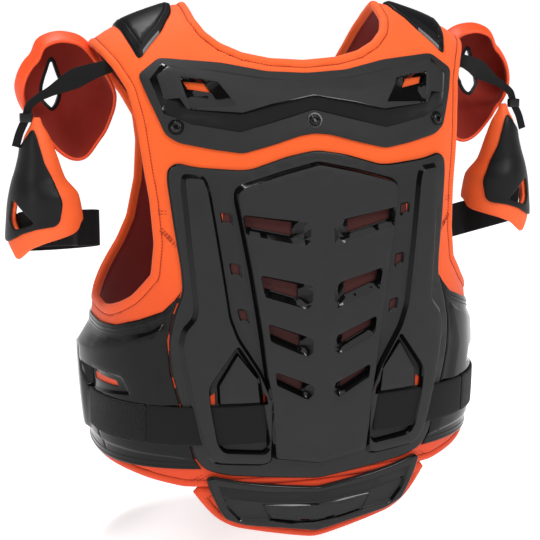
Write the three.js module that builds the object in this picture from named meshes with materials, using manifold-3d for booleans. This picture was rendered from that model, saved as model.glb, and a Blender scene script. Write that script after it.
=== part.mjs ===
// Roost deflector: a padded motocross vest with hard plates, shoulder cups and hanging arm guards.
// Millimetres, +Z up. The wearer's back faces -Y, the wearer's right arm is on +X.
// The origin lies between the shoulder straps, level with the top of the shoulders beside the neck.

import * as THREE from 'three';
import Module from 'manifold-3d';
import { mergeVertices } from 'three/addons/utils/BufferGeometryUtils.js';

const wasm = await Module();
wasm.setup();

// Driving dimensions of the body that the vest is cut for
const CHEST_WIDTH = 438;
const BACK_DEPTH = 133;
const FRONT_DEPTH = 116;
const GARMENT_RUN = 652;
const GARMENT_DROP = 582;
const SHOULDER_RISE = 2;

// Vest foam
const FOAM_WALL = 9;
const VEST_WIDTH = 410;
const HEM_MARGIN = 3;
const SEAM_REACH = 30;
const SEAM_GAP = 0.3;
const SEAM_SPLIT_LEVEL = -150;

// Hard plates
const PLATE_LIFT = 0.4;
const FLANGE_WALL = 2.8;
const CENTRE_RISE = 10.5;
const RAIL_RISE = 8.2;
const TONGUE_RISE = 5.2;
const MAIN_PLATE_WIDTH = 302;
const MAIN_PLATE_HEIGHT = 338;
const MAIN_PLATE_TOP = -123;
const VEST_LENGTH = MAIN_PLATE_HEIGHT - MAIN_PLATE_TOP + HEM_MARGIN;
const UPPER_PLATE_WIDTH = 334;
const UPPER_PLATE_HEIGHT = 91;
const UPPER_PLATE_TOP = -33;
const UPPER_RISE = 8;
const TAIL_PLATE_WIDTH = 232;
const TAIL_PLATE_HEIGHT = 68;
const TAIL_PLATE_WALL = 6;
const TAIL_PAD_WIDTH = 260;
const TAIL_PAD_HEIGHT = 66;
const CHEST_PLATE_WIDTH = 204;
const CHEST_PLATE_HEIGHT = 190;
const CHEST_PLATE_TOP = -136;
const CHEST_PLATE_WALL = 4;

// Bolts of the upper plate
const BOLT_RADIUS = 8;
const BOLT_HEIGHT = 3.2;
const BOLT_RECESS = 1.6;
const BOLT_SINK = 1.4;
const BOLT_SIDES = 14;
const SIDE_BOLT_REACH = 141;
const SIDE_BOLT_LEVEL = -98;
const CENTRE_BOLT_LEVEL = -91;

// Side wings and waist straps
const WING_WALL = 3;
const WING_TOP = -255;
const WING_HEIGHT = 195;
const WING_FRONT_REACH = 36;
const STRAP_WIDTH = 40;
const STRAP_WALL = 2;
const STRAP_DROP_SHARE = 0.8018;
const STRAP_LEVEL = MAIN_PLATE_TOP - STRAP_DROP_SHARE * MAIN_PLATE_HEIGHT;
const STRAP_INNER_SHARE = 0.381;
const STRAP_SLANT = 1;
const PATCH_REACH = 170;
const PATCH_WALL = 2.6;
const PATCH_FRONT = -16;

// Shoulder pads and cups
const SHOULDER_PAD_WALL = 3.6;
const SHOULDER_PAD_LENGTH = 84;
const SHOULDER_PAD_DEPTH = 92;
const SHOULDER_PAD_REACH = 155;
const CUP_WALL = 4;
const CUP_REACH = 77;
const CUP_DEPTH = 42;
const CUP_CENTRE = new THREE.Vector3(226, 0, -70);
const CUP_WINDOW_WIDTH = 22;
const CUP_WINDOW_HEIGHT = 53;
const CUP_WINDOW_TOP = 36;
const CUP_WINDOW_SHIFT = 10;

// Arm guards, their elastic bands and the webbing that carries them
const GUARD_RADIUS = 41;
const GUARD_LENGTH = 130;
const GUARD_TOP = -97;
const GUARD_REACH = 254;
const PAD_WALL = 6;
const GUARD_WALL = 2.2;
const BAND_WALL = 2.6;
const BAND_WIDTH = 38;
const BAND_DROP_SHARE = 0.838;
const BAND_INSET_SHARE = 0.39;
const BAND_AHEAD_SHARE = 0.22;
const BAND_LENGTH_X = 86;
const BAND_LENGTH_Y = 88;
const WEBBING_WALL = 1.8;
const WEBBING_WIDTH = 20;
const KEEPER_SIZE = 13;
const KEEPER_DEPTH_SHARE = 0.55;
const KEEPER_HEIGHT_SHARE = 0.7;

// Clearances
const PART_GAP = 0.5;
const SLOT_GAP = 0.8;

// Reach of the prisms that cut the layers: past the whole garment, and past any one layer
const FAR = 400;
const NEAR = 40;

// Sections of the body from the shoulder ridge down. Shares: run of GARMENT_RUN, drop of GARMENT_DROP,
// width of half CHEST_WIDTH, back of BACK_DEPTH, front of FRONT_DEPTH. square is the corner exponent.
const BODY_ROWS = [
  { run: 0, drop: 0, width: 0.438, back: 0.06, front: 0.07, square: 1.98 },
  { run: 0.046, drop: 0.012, width: 0.603, back: 0.226, front: 0.224, square: 2.07 },
  { run: 0.1, drop: 0.034, width: 0.785, back: 0.39, front: 0.397, square: 2.16 },
  { run: 0.153, drop: 0.065, width: 0.963, back: 0.526, front: 0.552, square: 2.25 },
  { run: 0.199, drop: 0.107, width: 1, back: 0.69, front: 0.707, square: 2.34 },
  { run: 0.264, drop: 0.175, width: 0.977, back: 0.827, front: 0.845, square: 2.52 },
  { run: 0.356, drop: 0.278, width: 0.936, back: 0.917, front: 0.931, square: 2.61 },
  { run: 0.463, drop: 0.399, width: 0.918, back: 0.97, front: 0.983, square: 2.7 },
  { run: 0.571, drop: 0.519, width: 0.932, back: 0.992, front: 1, square: 2.7 },
  { run: 0.678, drop: 0.639, width: 0.95, back: 1, front: 1, square: 2.7 },
  { run: 0.77, drop: 0.742, width: 0.95, back: 0.977, front: 0.983, square: 2.61 },
  { run: 0.877, drop: 0.863, width: 0.922, back: 0.932, front: 0.948, square: 2.52 },
  { run: 1, drop: 1, width: 0.877, back: 0.88, front: 0.897, square: 2.43 },
];

// Half outlines seen from behind, from the top centre to the bottom centre.
// Shares: x of half the piece's width, drop of its height, both from the piece's top centre.
const BACK_NECK = [
  { x: 0, drop: 0.075 }, { x: 0.17, drop: 0.07 }, { x: 0.3, drop: 0.06 }, { x: 0.415, drop: 0.043 },
  { x: 0.493, drop: 0.024 }, { x: 0.52, drop: 0.005 }, { x: 0.527, drop: -0.06 },
];
const BACK_ARMHOLE = [
  { x: 1, drop: -0.06 }, { x: 1, drop: 0.065 }, { x: 0.975, drop: 0.08 }, { x: 0.912, drop: 0.118 },
  { x: 0.858, drop: 0.162 }, { x: 0.84, drop: 0.215 }, { x: 0.825, drop: 0.3 }, { x: 0.805, drop: 0.366 },
  { x: 0.793, drop: 0.457 }, { x: 0.81, drop: 0.524 }, { x: 0.893, drop: 0.575 }, { x: 0.99, drop: 0.614 },
  { x: 1.2, drop: 0.63 },
];
const BACK_HEM = [
  { x: 1.2, drop: 0.963 }, { x: 1, drop: 0.966 }, { x: 0.927, drop: 0.974 }, { x: 0.82, drop: 0.987 },
  { x: 0.673, drop: 1 }, { x: 0, drop: 1 },
];
const FRONT_NECK = [
  { x: 0, drop: 0.237 }, { x: 0.17, drop: 0.224 }, { x: 0.3, drop: 0.19 }, { x: 0.4, drop: 0.13 },
  { x: 0.463, drop: 0.054 }, { x: 0.507, drop: 0.012 }, { x: 0.527, drop: -0.06 },
];
const FRONT_ARMHOLE = [
  { x: 1, drop: -0.06 }, { x: 1, drop: 0.065 }, { x: 0.94, drop: 0.097 }, { x: 0.78, drop: 0.165 },
  { x: 0.7, drop: 0.22 }, { x: 0.68, drop: 0.28 }, { x: 0.69, drop: 0.37 }, { x: 0.737, drop: 0.46 },
  { x: 0.8, drop: 0.51 }, { x: 0.907, drop: 0.565 }, { x: 0.99, drop: 0.612 }, { x: 1.2, drop: 0.63 },
];
const FRONT_HEM = [
  { x: 1.2, drop: 0.963 }, { x: 0.927, drop: 0.948 }, { x: 0.585, drop: 0.916 }, { x: 0, drop: 0.894 },
];
const TAIL_PAD_OUTLINE = [
  { x: 0, drop: 0 }, { x: 1, drop: 0 }, { x: 1, drop: 0.06 }, { x: 0.908, drop: 0.32 },
  { x: 0.808, drop: 0.545 }, { x: 0.677, drop: 0.7 }, { x: 0.423, drop: 0.82 }, { x: 0.123, drop: 0.955 },
  { x: 0, drop: 1 },
];
const TAIL_PLATE_OUTLINE = [
  { x: 0, drop: 0.2 }, { x: 0.5, drop: 0.07 }, { x: 0.715, drop: 0 }, { x: 0.957, drop: -0.1 },
  { x: 1, drop: -0.06 }, { x: 0.974, drop: 0.12 }, { x: 0.888, drop: 0.455 }, { x: 0.836, drop: 0.6 },
  { x: 0.672, drop: 0.71 }, { x: 0.422, drop: 0.78 }, { x: 0.233, drop: 0.84 }, { x: 0, drop: 0.92 },
];
const TAIL_RECESS_OUTLINE = [
  { x: 0, drop: 0.36 }, { x: 0.5, drop: 0.24 }, { x: 0.86, drop: 0.13 }, { x: 0.79, drop: 0.44 },
  { x: 0.62, drop: 0.54 }, { x: 0.2, drop: 0.68 }, { x: 0, drop: 0.72 },
];
const UPPER_PLATE_OUTLINE = [
  { x: 0, drop: 0.175 }, { x: 0.25, drop: 0.15 }, { x: 0.515, drop: 0.055 }, { x: 0.635, drop: 0.035 },
  { x: 0.87, drop: 0 }, { x: 1, drop: 0.175 }, { x: 0.965, drop: 0.385 }, { x: 0.88, drop: 0.8 },
  { x: 0.815, drop: 0.88 }, { x: 0.615, drop: 0.955 }, { x: 0.45, drop: 1 }, { x: 0.27, drop: 0.92 },
  { x: 0.095, drop: 0.83 }, { x: 0, drop: 0.81 },
];
const UPPER_RAISED_OUTLINE = [
  { x: 0, drop: 0.23 }, { x: 0.27, drop: 0.22 }, { x: 0.53, drop: 0.13 }, { x: 0.85, drop: 0.07 },
  { x: 0.93, drop: 0.2 }, { x: 0.86, drop: 0.5 }, { x: 0.5, drop: 0.72 }, { x: 0, drop: 0.5 },
];
const UPPER_VENT_OUTLINE = [
  { x: 0.63, drop: 0.33 }, { x: 0.8, drop: 0.26 }, { x: 0.765, drop: 0.39 }, { x: 0.62, drop: 0.44 },
];
const MAIN_PLATE_OUTLINE = [
  { x: 0, drop: 0 }, { x: 0.2, drop: 0.015 }, { x: 0.45, drop: 0.049 }, { x: 0.53, drop: 0.05 },
  { x: 0.8, drop: 0.04 }, { x: 0.92, drop: 0.027 }, { x: 0.974, drop: 0.045 }, { x: 0.98, drop: 0.08 },
  { x: 0.947, drop: 0.22 }, { x: 0.914, drop: 0.335 }, { x: 0.907, drop: 0.4 }, { x: 0.967, drop: 0.475 },
  { x: 1, drop: 0.55 }, { x: 0.987, drop: 0.64 }, { x: 0.907, drop: 0.795 }, { x: 0.848, drop: 0.905 },
  { x: 0.785, drop: 0.945 }, { x: 0.65, drop: 0.965 }, { x: 0.364, drop: 0.98 }, { x: 0, drop: 1 },
];
const CENTRE_PANEL_OUTLINE = [
  { x: 0, drop: 0.03 }, { x: 0.258, drop: 0.056 }, { x: 0.53, drop: 0.09 }, { x: 0.57, drop: 0.105 },
  { x: 0.575, drop: 0.135 }, { x: 0.497, drop: 0.345 }, { x: 0.437, drop: 0.525 }, { x: 0.397, drop: 0.665 },
  { x: 0.37, drop: 0.73 }, { x: 0.35, drop: 0.86 }, { x: 0.34, drop: 0.92 }, { x: 0, drop: 0.95 },
];
const SIDE_RAIL_OUTLINE = [
  { x: 0.748, drop: 0.06 }, { x: 0.9, drop: 0.055 }, { x: 0.905, drop: 0.09 }, { x: 0.88, drop: 0.275 },
  { x: 0.85, drop: 0.46 }, { x: 0.93, drop: 0.5 }, { x: 0.95, drop: 0.56 }, { x: 0.9, drop: 0.7 },
  { x: 0.83, drop: 0.85 }, { x: 0.76, drop: 0.92 }, { x: 0.4, drop: 0.94 }, { x: 0.36, drop: 0.93 },
  { x: 0.35, drop: 0.73 }, { x: 0.43, drop: 0.64 }, { x: 0.56, drop: 0.53 }, { x: 0.62, drop: 0.435 },
  { x: 0.72, drop: 0.1 },
];
const WINDOW_OUTLINE = [
  { x: 0.576, drop: 0.555 }, { x: 0.748, drop: 0.666 }, { x: 0.77, drop: 0.686 }, { x: 0.76, drop: 0.743 },
  { x: 0.715, drop: 0.867 }, { x: 0.67, drop: 0.888 }, { x: 0.377, drop: 0.9 }, { x: 0.345, drop: 0.882 },
  { x: 0.424, drop: 0.675 }, { x: 0.44, drop: 0.648 },
];
const TONGUE_OUTLINE = [
  { x: 0.576, drop: 0.583 }, { x: 0.709, drop: 0.68 }, { x: 0.702, drop: 0.737 }, { x: 0.42, drop: 0.737 },
  { x: 0.434, drop: 0.663 },
];
// Vents through the centre panel: corners at inner top, outer top, outer bottom and inner bottom
const CENTRE_VENTS = [
  [{ x: 0.16, drop: 0.213 }, { x: 0.503, drop: 0.19 }, { x: 0.49, drop: 0.207 }, { x: 0.185, drop: 0.25 }],
  [{ x: 0.15, drop: 0.4 }, { x: 0.42, drop: 0.37 }, { x: 0.4, drop: 0.41 }, { x: 0.17, drop: 0.445 }],
  [{ x: 0.14, drop: 0.56 }, { x: 0.37, drop: 0.51 }, { x: 0.36, drop: 0.55 }, { x: 0.16, drop: 0.595 }],
  [{ x: 0.12, drop: 0.705 }, { x: 0.32, drop: 0.657 }, { x: 0.315, drop: 0.685 }, { x: 0.14, drop: 0.73 }],
];
const SIDE_VENTS = [
  [{ x: 0.595, drop: 0.17 }, { x: 0.66, drop: 0.165 }, { x: 0.655, drop: 0.19 }, { x: 0.588, drop: 0.197 }],
  [{ x: 0.55, drop: 0.318 }, { x: 0.61, drop: 0.31 }, { x: 0.6, drop: 0.338 }, { x: 0.542, drop: 0.347 }],
  [{ x: 0.508, drop: 0.455 }, { x: 0.57, drop: 0.445 }, { x: 0.56, drop: 0.475 }, { x: 0.5, drop: 0.487 }],
];
const CHEST_PLATE_OUTLINE = [
  { x: 0, drop: 0 }, { x: 0.55, drop: -0.02 }, { x: 0.85, drop: 0.04 }, { x: 1, drop: 0.2 },
  { x: 0.96, drop: 0.6 }, { x: 0.7, drop: 0.9 }, { x: 0.4, drop: 1 }, { x: 0, drop: 1 },
];
// Wing outline: x as a share of half VEST_WIDTH, drop as a share of WING_HEIGHT
const WING_OUTLINE = [
  { x: 0.585, drop: 0 }, { x: 0.663, drop: 0.02 }, { x: 0.702, drop: 0.062 }, { x: 0.756, drop: 0.123 },
  { x: 0.854, drop: 0.174 }, { x: 0.98, drop: 0.236 }, { x: 1.2, drop: 0.25 }, { x: 1.2, drop: 0.97 },
  { x: 0.95, drop: 0.965 }, { x: 0.595, drop: 0.96 },
];
// Shoulder pad seen from above: x as a share of half its length, y of half its depth
const SHOULDER_PAD_OUTLINE = [
  { x: -1, y: -0.26 }, { x: -0.43, y: -0.76 }, { x: 0.19, y: -1 }, { x: 0.55, y: -0.85 },
  { x: 1, y: -0.3 }, { x: 1, y: 0.3 }, { x: 0.55, y: 0.85 }, { x: -0.43, y: 0.76 }, { x: -1, y: 0.26 },
];

// Rim of the cup seen from behind, by angle in degrees from straight outward, counted towards the top.
// reach is a share of CUP_REACH. hood is 1 where the rim rolls over and 0 where the flap runs out flat.
const CUP_RIM = [
  { angle: 180, reach: 0.45, hood: 0.2 }, { angle: 160, reach: 0.47, hood: 0.4 },
  { angle: 142, reach: 0.42, hood: 0.7 }, { angle: 125, reach: 0.575, hood: 1 },
  { angle: 115, reach: 0.735, hood: 1 }, { angle: 107, reach: 0.87, hood: 1 },
  { angle: 95, reach: 0.92, hood: 1 }, { angle: 73, reach: 0.8, hood: 1 }, { angle: 43, reach: 0.69, hood: 1 },
  { angle: 11, reach: 0.68, hood: 0.9 }, { angle: -12, reach: 0.65, hood: 0.6 },
  { angle: -45, reach: 0.585, hood: 0.15 }, { angle: -68, reach: 0.67, hood: 0 },
  { angle: -93, reach: 0.88, hood: 0 }, { angle: -102, reach: 0.9, hood: 0 },
  { angle: -114, reach: 0.77, hood: 0 }, { angle: -150, reach: 0.52, hood: 0 },
  { angle: -180, reach: 0.45, hood: 0.2 },
];
// Depth profile of the cup from its rim to its crown: radius and depth shares, hooded and flat
const CUP_PROFILE = [
  { hoodRadius: 0.86, hoodDepth: -0.02, flatRadius: 1, flatDepth: 0 },
  { hoodRadius: 0.95, hoodDepth: 0.2, flatRadius: 0.93, flatDepth: 0.14 },
  { hoodRadius: 1, hoodDepth: 0.42, flatRadius: 0.85, flatDepth: 0.3 },
  { hoodRadius: 0.95, hoodDepth: 0.64, flatRadius: 0.75, flatDepth: 0.48 },
  { hoodRadius: 0.78, hoodDepth: 0.83, flatRadius: 0.6, flatDepth: 0.68 },
  { hoodRadius: 0.45, hoodDepth: 0.96, flatRadius: 0.35, flatDepth: 0.88 },
  { hoodRadius: 0, hoodDepth: 1, flatRadius: 0, flatDepth: 1 },
];
// Window of the cup: x as a share of its width from its middle, drop as a share of its height
const CUP_WINDOW = [
  { x: -0.02, drop: 0 }, { x: 0.25, drop: 0.3 }, { x: 0.42, drop: 0.53 }, { x: 0.5, drop: 0.79 },
  { x: 0.1, drop: 1 }, { x: -0.14, drop: 0.89 }, { x: -0.48, drop: 0.53 }, { x: -0.28, drop: 0.34 },
];

// Sections of the arm guard from its tip down: drop of GUARD_LENGTH, radius of GUARD_RADIUS,
// shift of the centre in shares of GUARD_RADIUS outward (out) and forward (ahead)
const GUARD_ROWS = [
  { drop: 0, radius: 0.14, out: 0.08, ahead: -0.4 }, { drop: 0.12, radius: 0.33, out: 0.08, ahead: -0.37 },
  { drop: 0.3, radius: 0.49, out: 0.05, ahead: -0.32 }, { drop: 0.42, radius: 0.61, out: 0.05, ahead: -0.27 },
  { drop: 0.575, radius: 0.85, out: -0.05, ahead: -0.2 }, { drop: 0.75, radius: 0.93, out: -0.05, ahead: -0.15 },
  { drop: 0.9, radius: 0.96, out: -0.04, ahead: -0.15 }, { drop: 1.1, radius: 0.97, out: -0.04, ahead: -0.15 },
];
// Outlines of the guard seen from behind: x as a share of GUARD_RADIUS from GUARD_REACH, drop of GUARD_LENGTH
const PAD_OUTLINE = [
  { x: -0.3, drop: -0.04 }, { x: 0.4, drop: -0.04 }, { x: 1.4, drop: 0.4 }, { x: 1.4, drop: 0.83 },
  { x: 0.88, drop: 0.96 }, { x: 0.67, drop: 1.06 }, { x: 0.27, drop: 0.955 }, { x: -0.12, drop: 0.91 },
  { x: -0.78, drop: 0.86 }, { x: -0.9, drop: 0.84 }, { x: -0.98, drop: 0.77 }, { x: -1.4, drop: 0.7 },
  { x: -1.4, drop: 0.4 },
];
const FACE_OUTLINE = [
  { x: 0.15, drop: 0.045 }, { x: 0.5, drop: 0.2 }, { x: 1.4, drop: 0.3 }, { x: 1.4, drop: 0.85 },
  { x: 0.88, drop: 0.93 }, { x: 0.45, drop: 0.84 }, { x: 0.1, drop: 0.8 }, { x: -0.34, drop: 0.78 },
  { x: -0.44, drop: 0.75 }, { x: -0.51, drop: 0.62 }, { x: -0.49, drop: 0.575 }, { x: -0.1, drop: 0.305 },
  { x: 0.07, drop: 0.1 },
];
const GUARD_CUT = [
  { x: 0.66, drop: 0.585 }, { x: 0.75, drop: 0.74 }, { x: 0.64, drop: 0.815 }, { x: 0.15, drop: 0.755 },
];
// Angles of the guard around the arm in degrees, 0 straight back and 90 straight outward
const PAD_ANGLES = [-85, -62, -39, -16, 7, 30, 53, 76, 105];
const FACE_ANGLES = [-39, -16, 7, 30, 53, 76, 98];

// Path of the elastic band seen from above: x of BAND_LENGTH_X and y of BAND_LENGTH_Y, from its middle
const BAND_PATH = [
  { x: -0.165, y: -0.22 }, { x: -0.09, y: -0.375 }, { x: 0.02, y: -0.46 }, { x: 0.16, y: -0.49 },
  { x: 0.3, y: -0.46 }, { x: 0.41, y: -0.375 }, { x: 0.475, y: -0.255 }, { x: 0.48, y: -0.115 },
  { x: 0.48, y: 0.04 }, { x: 0.4, y: 0.28 }, { x: 0.2, y: 0.46 }, { x: -0.05, y: 0.5 },
  { x: -0.3, y: 0.4 }, { x: -0.465, y: 0.2 }, { x: -0.495, y: 0.02 }, { x: -0.41, y: -0.1 },
  { x: -0.285, y: -0.145 }, { x: -0.21, y: -0.155 },
];

// Route of the webbing from the armhole over the cup's mouth: x, y and z from CUP_CENTRE in shares of
// CUP_REACH, with its half width at each point as a share of WEBBING_WIDTH
const WEBBING_OVER_CUP = [
  { x: -0.405, y: -0.506, z: 0.325, half: 0.35 }, { x: -0.234, y: -0.403, z: 0.286, half: 0.42 },
  { x: -0.065, y: -0.312, z: 0.208, half: 0.5 }, { x: 0.104, y: -0.247, z: 0.117, half: 0.38 },
  { x: 0.273, y: -0.195, z: 0.026, half: 0.24 }, { x: 0.416, y: -0.169, z: -0.052, half: 0.2 },
  { x: 0.532, y: -0.169, z: -0.156, half: 0.2 },
];
// The same webbing on the guard: x and y in shares of GUARD_RADIUS, drop in shares of GUARD_LENGTH.
// It passes through the keeper at its first point here.
const WEBBING_ON_GUARD = [
  { x: 0.395, y: -0.341, drop: -0.031, half: 0.2 }, { x: 0.561, y: -0.366, drop: 0.077, half: 0.2 },
  { x: 0.671, y: -0.366, drop: 0.185, half: 0.2 },
];

// Angles around the body, in degrees from the spine, and stations along GARMENT_RUN
const RING_COUNT = 40;
const CUP_COLUMNS = 22;
const BAND_COLUMNS = 27;
const RUN_STATIONS = [
  0.012, 0.045, 0.085, 0.125, 0.165, 0.215, 0.28, 0.36, 0.45, 0.54, 0.63, 0.72, 0.8, 0.87, 0.93,
];

// Small steps that find the direction of a surface
const PARAMETER_STEP = 1e-3;
const CUP_ANGLE_STEP = 3;
const CUP_SHARE_STEP = 0.06;
const SEAT_TURNS = 40;

const degrees = (angle) => THREE.MathUtils.degToRad(angle);

// Smooth value of one column of a table at a place given in its key column
function tableValue(rows, key, column, place) {
  let low = 0;
  while (low < rows.length - 2 && place > rows[low + 1][key]) {
    low += 1;
  }
  const slope = (i) => {
    const before = rows[Math.max(i - 1, 0)];
    const after = rows[Math.min(i + 1, rows.length - 1)];
    return (after[column] - before[column]) / (after[key] - before[key]);
  };
  const span = rows[low + 1][key] - rows[low][key];
  const t = (place - rows[low][key]) / span;
  const square = t * t;
  const cube = square * t;
  return (2 * cube - 3 * square + 1) * rows[low][column] + (cube - 2 * square + t) * span * slope(low)
    + (3 * square - 2 * cube) * rows[low + 1][column] + (cube - square) * span * slope(low + 1);
}

// Point of the body's surface at an angle from the spine and a share of the run from the shoulder ridge
function bodyPoint(angle, run) {
  const column = (name) => tableValue(BODY_ROWS, 'run', name, run);
  const sine = Math.sin(angle);
  const cosine = Math.cos(angle);
  const halfWidth = column('width') * CHEST_WIDTH / 2;
  const depth = cosine > 0 ? column('back') * BACK_DEPTH : column('front') * FRONT_DEPTH;
  const power = column('square');
  const sum = Math.abs(sine / halfWidth) ** power + Math.abs(cosine / depth) ** power;
  const radius = sum ** (-1 / power);
  return new THREE.Vector3(radius * sine, -radius * cosine, SHOULDER_RISE - column('drop') * GARMENT_DROP);
}

// Unit normal of a surface, from small steps along both of its parameters
function surfaceNormal(surface, u, v) {
  const step = PARAMETER_STEP;
  const along = surface(u + step, v).sub(surface(u - step, v));
  const across = surface(u, v + step).sub(surface(u, v - step));
  return across.cross(along).normalize();
}

// Closed solid between two offsets of a surface, over a grid of its parameters
function slab(surface, us, vs, inner, outer, options = {}) {
  const { wrap = false, normal = surfaceNormal, mirrorFrom = Infinity } = options;
  const positions = [];
  const known = new Map();
  const index = [];
  const vertex = (point) => {
    const key = point.toArray().map((value) => Math.round(value * 1e4)).join(',');
    if (!known.has(key)) {
      known.set(key, positions.length / 3);
      positions.push(point.x, point.y, point.z);
    }
    return known.get(key);
  };
  const sheet = (offset) => vs.map((v) => us.map((u) => (
    vertex(surface(u, v).addScaledVector(normal(surface, u, v), offset))
  )));
  const face = (...corners) => {
    if (new Set(corners).size === 3) {
      index.push(...corners);
    }
  };
  const quad = (a, b, c, d) => {
    face(a, b, c);
    face(a, c, d);
  };
  const sheetQuad = (column, a, b, c, d) => {
    if (column < mirrorFrom) {
      quad(a, b, c, d);
    } else {
      quad(b, c, d, a);
    }
  };
  const top = sheet(outer);
  const under = sheet(inner);
  const columns = wrap ? us.length : us.length - 1;
  const next = (i) => (i + 1) % us.length;
  for (let j = 0; j < vs.length - 1; j += 1) {
    for (let i = 0; i < columns; i += 1) {
      sheetQuad(i, top[j][i], top[j][next(i)], top[j + 1][next(i)], top[j + 1][i]);
      sheetQuad(i, under[j][i], under[j + 1][i], under[j + 1][next(i)], under[j][next(i)]);
    }
  }
  const last = vs.length - 1;
  for (let i = 0; i < columns; i += 1) {
    quad(top[0][i], under[0][i], under[0][next(i)], top[0][next(i)]);
    quad(top[last][i], top[last][next(i)], under[last][next(i)], under[last][i]);
  }
  if (!wrap) {
    const end = us.length - 1;
    for (let j = 0; j < last; j += 1) {
      quad(top[j][0], top[j + 1][0], under[j + 1][0], under[j][0]);
      quad(top[j][end], under[j][end], under[j + 1][end], top[j + 1][end]);
    }
  }
  return solid(positions, index);
}

// Solid from shared vertices, with its faces turned outward
function solid(positions, index) {
  const flip = signedVolume(positions, index) < 0;
  const triVerts = new Uint32Array(index);
  if (flip) {
    for (let i = 0; i < triVerts.length; i += 3) {
      [triVerts[i], triVerts[i + 1]] = [triVerts[i + 1], triVerts[i]];
    }
  }
  const vertProperties = new Float32Array(positions);
  return new wasm.Manifold(new wasm.Mesh({ numProp: 3, vertProperties, triVerts }));
}

function signedVolume(positions, index) {
  const point = (i) => new THREE.Vector3().fromArray(positions, 3 * i);
  let sum = 0;
  for (let i = 0; i < index.length; i += 3) {
    sum += point(index[i]).dot(point(index[i + 1]).cross(point(index[i + 2])));
  }
  return sum / 6;
}

// Solid of a closed three.js geometry
function geometrySolid(geometry) {
  geometry.deleteAttribute('normal');
  geometry.deleteAttribute('uv');
  const merged = mergeVertices(geometry, 1e-4);
  return solid(Array.from(merged.attributes.position.array), Array.from(merged.index.array));
}

// Layer of the garment between two distances from the body, all the way round
const ringAngles = Array.from({ length: RING_COUNT }, (_, i) => (i / RING_COUNT) * 2 * Math.PI);
const layers = new Map();
function layer(inner, outer) {
  const key = `${inner} ${outer}`;
  if (!layers.has(key)) {
    const options = { wrap: true, mirrorFrom: RING_COUNT / 2 };
    layers.set(key, slab(bodyPoint, ringAngles, RUN_STATIONS, inner, outer, options));
  }
  return layers.get(key);
}

// Half outline in millimetres, from shares of a width and a height below a top level
function sized(rows, width, height, top) {
  return rows.map(({ x, drop }) => new THREE.Vector2(x * width / 2, top - drop * height));
}

// Whole outline from a half outline that starts and ends on the centre line
function mirroredOutline(half) {
  const other = half.slice(1, -1).reverse().map((point) => new THREE.Vector2(-point.x, point.y));
  return [...half, ...other];
}

// Outline grown outward by a distance, or shrunk by a negative one
function grown(outline, distance) {
  const turn = THREE.ShapeUtils.area(outline) > 0 ? 1 : -1;
  const count = outline.length;
  return outline.map((point, i) => {
    const before = point.clone().sub(outline[(i + count - 1) % count]).normalize();
    const after = outline[(i + 1) % count].clone().sub(point).normalize();
    const firstNormal = new THREE.Vector2(before.y, -before.x);
    const secondNormal = new THREE.Vector2(after.y, -after.x);
    const mitre = firstNormal.clone().add(secondNormal).normalize();
    const reach = distance * turn / Math.max(mitre.dot(firstNormal), 0.5);
    return point.clone().addScaledVector(mitre, reach);
  });
}

// Prism along Y of an outline in X and Z
function prism(outline, yFrom, yTo) {
  const options = { depth: yTo - yFrom, bevelEnabled: false };
  const geometry = new THREE.ExtrudeGeometry(new THREE.Shape(outline), options);
  geometry.rotateX(Math.PI / 2);
  geometry.translate(0, yTo, 0);
  return geometrySolid(geometry);
}

// Prism along Z of an outline in X and Y
function tower(outline, zFrom, zTo) {
  const options = { depth: zTo - zFrom, bevelEnabled: false };
  const geometry = new THREE.ExtrudeGeometry(new THREE.Shape(outline), options);
  geometry.translate(0, 0, zFrom);
  return geometrySolid(geometry);
}

function block(size, centre) {
  const geometry = new THREE.BoxGeometry(size.x, size.y, size.z);
  geometry.translate(centre.x, centre.y, centre.z);
  return geometrySolid(geometry);
}

// The same solid on the other side of the body
function otherSide(piece) {
  const mesh = piece.getMesh();
  const positions = Array.from(mesh.vertProperties);
  for (let i = 0; i < positions.length; i += 3) {
    positions[i] = -positions[i];
  }
  return solid(positions, Array.from(mesh.triVerts));
}

// Foam vest: a back, a front, two shoulder straps and two waist panels that meet at seams
const vestOutline = (neck, armhole, hem) => (
  mirroredOutline(sized([...neck, ...armhole, ...hem], VEST_WIDTH, VEST_LENGTH, 0))
);
const backOutline = vestOutline(BACK_NECK, BACK_ARMHOLE, BACK_HEM);
const frontOutline = vestOutline(FRONT_NECK, FRONT_ARMHOLE, FRONT_HEM);
const foam = layer(-FOAM_WALL, 0);

function backPad() {
  return foam.intersect(prism(backOutline, -FAR, -SEAM_REACH - SEAM_GAP / 2));
}

function frontPad() {
  return foam.intersect(prism(frontOutline, SEAM_REACH + SEAM_GAP / 2, FAR));
}

function seamPiece(zFrom, zTo) {
  const reach = SEAM_REACH - SEAM_GAP / 2;
  const size = new THREE.Vector3(FAR, FAR, zTo - zFrom);
  const side = block(size, new THREE.Vector3(FAR / 2, 0, (zFrom + zTo) / 2));
  return foam.intersect(prism(backOutline, -reach, reach)).intersect(side);
}

function tailPad() {
  const half = sized(TAIL_PAD_OUTLINE, TAIL_PAD_WIDTH, TAIL_PAD_HEIGHT, -VEST_LENGTH - SEAM_GAP);
  return foam.intersect(prism(mirroredOutline(half), -FAR, 0));
}

// Part of a layer inside an outline on the back of the body
function backLayer(inner, outer, outline) {
  return layer(inner, outer).intersect(prism(outline, -FAR, 0));
}

const bothSides = (piece) => piece.add(otherSide(piece));
const flangeTop = PLATE_LIFT + FLANGE_WALL;

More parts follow.
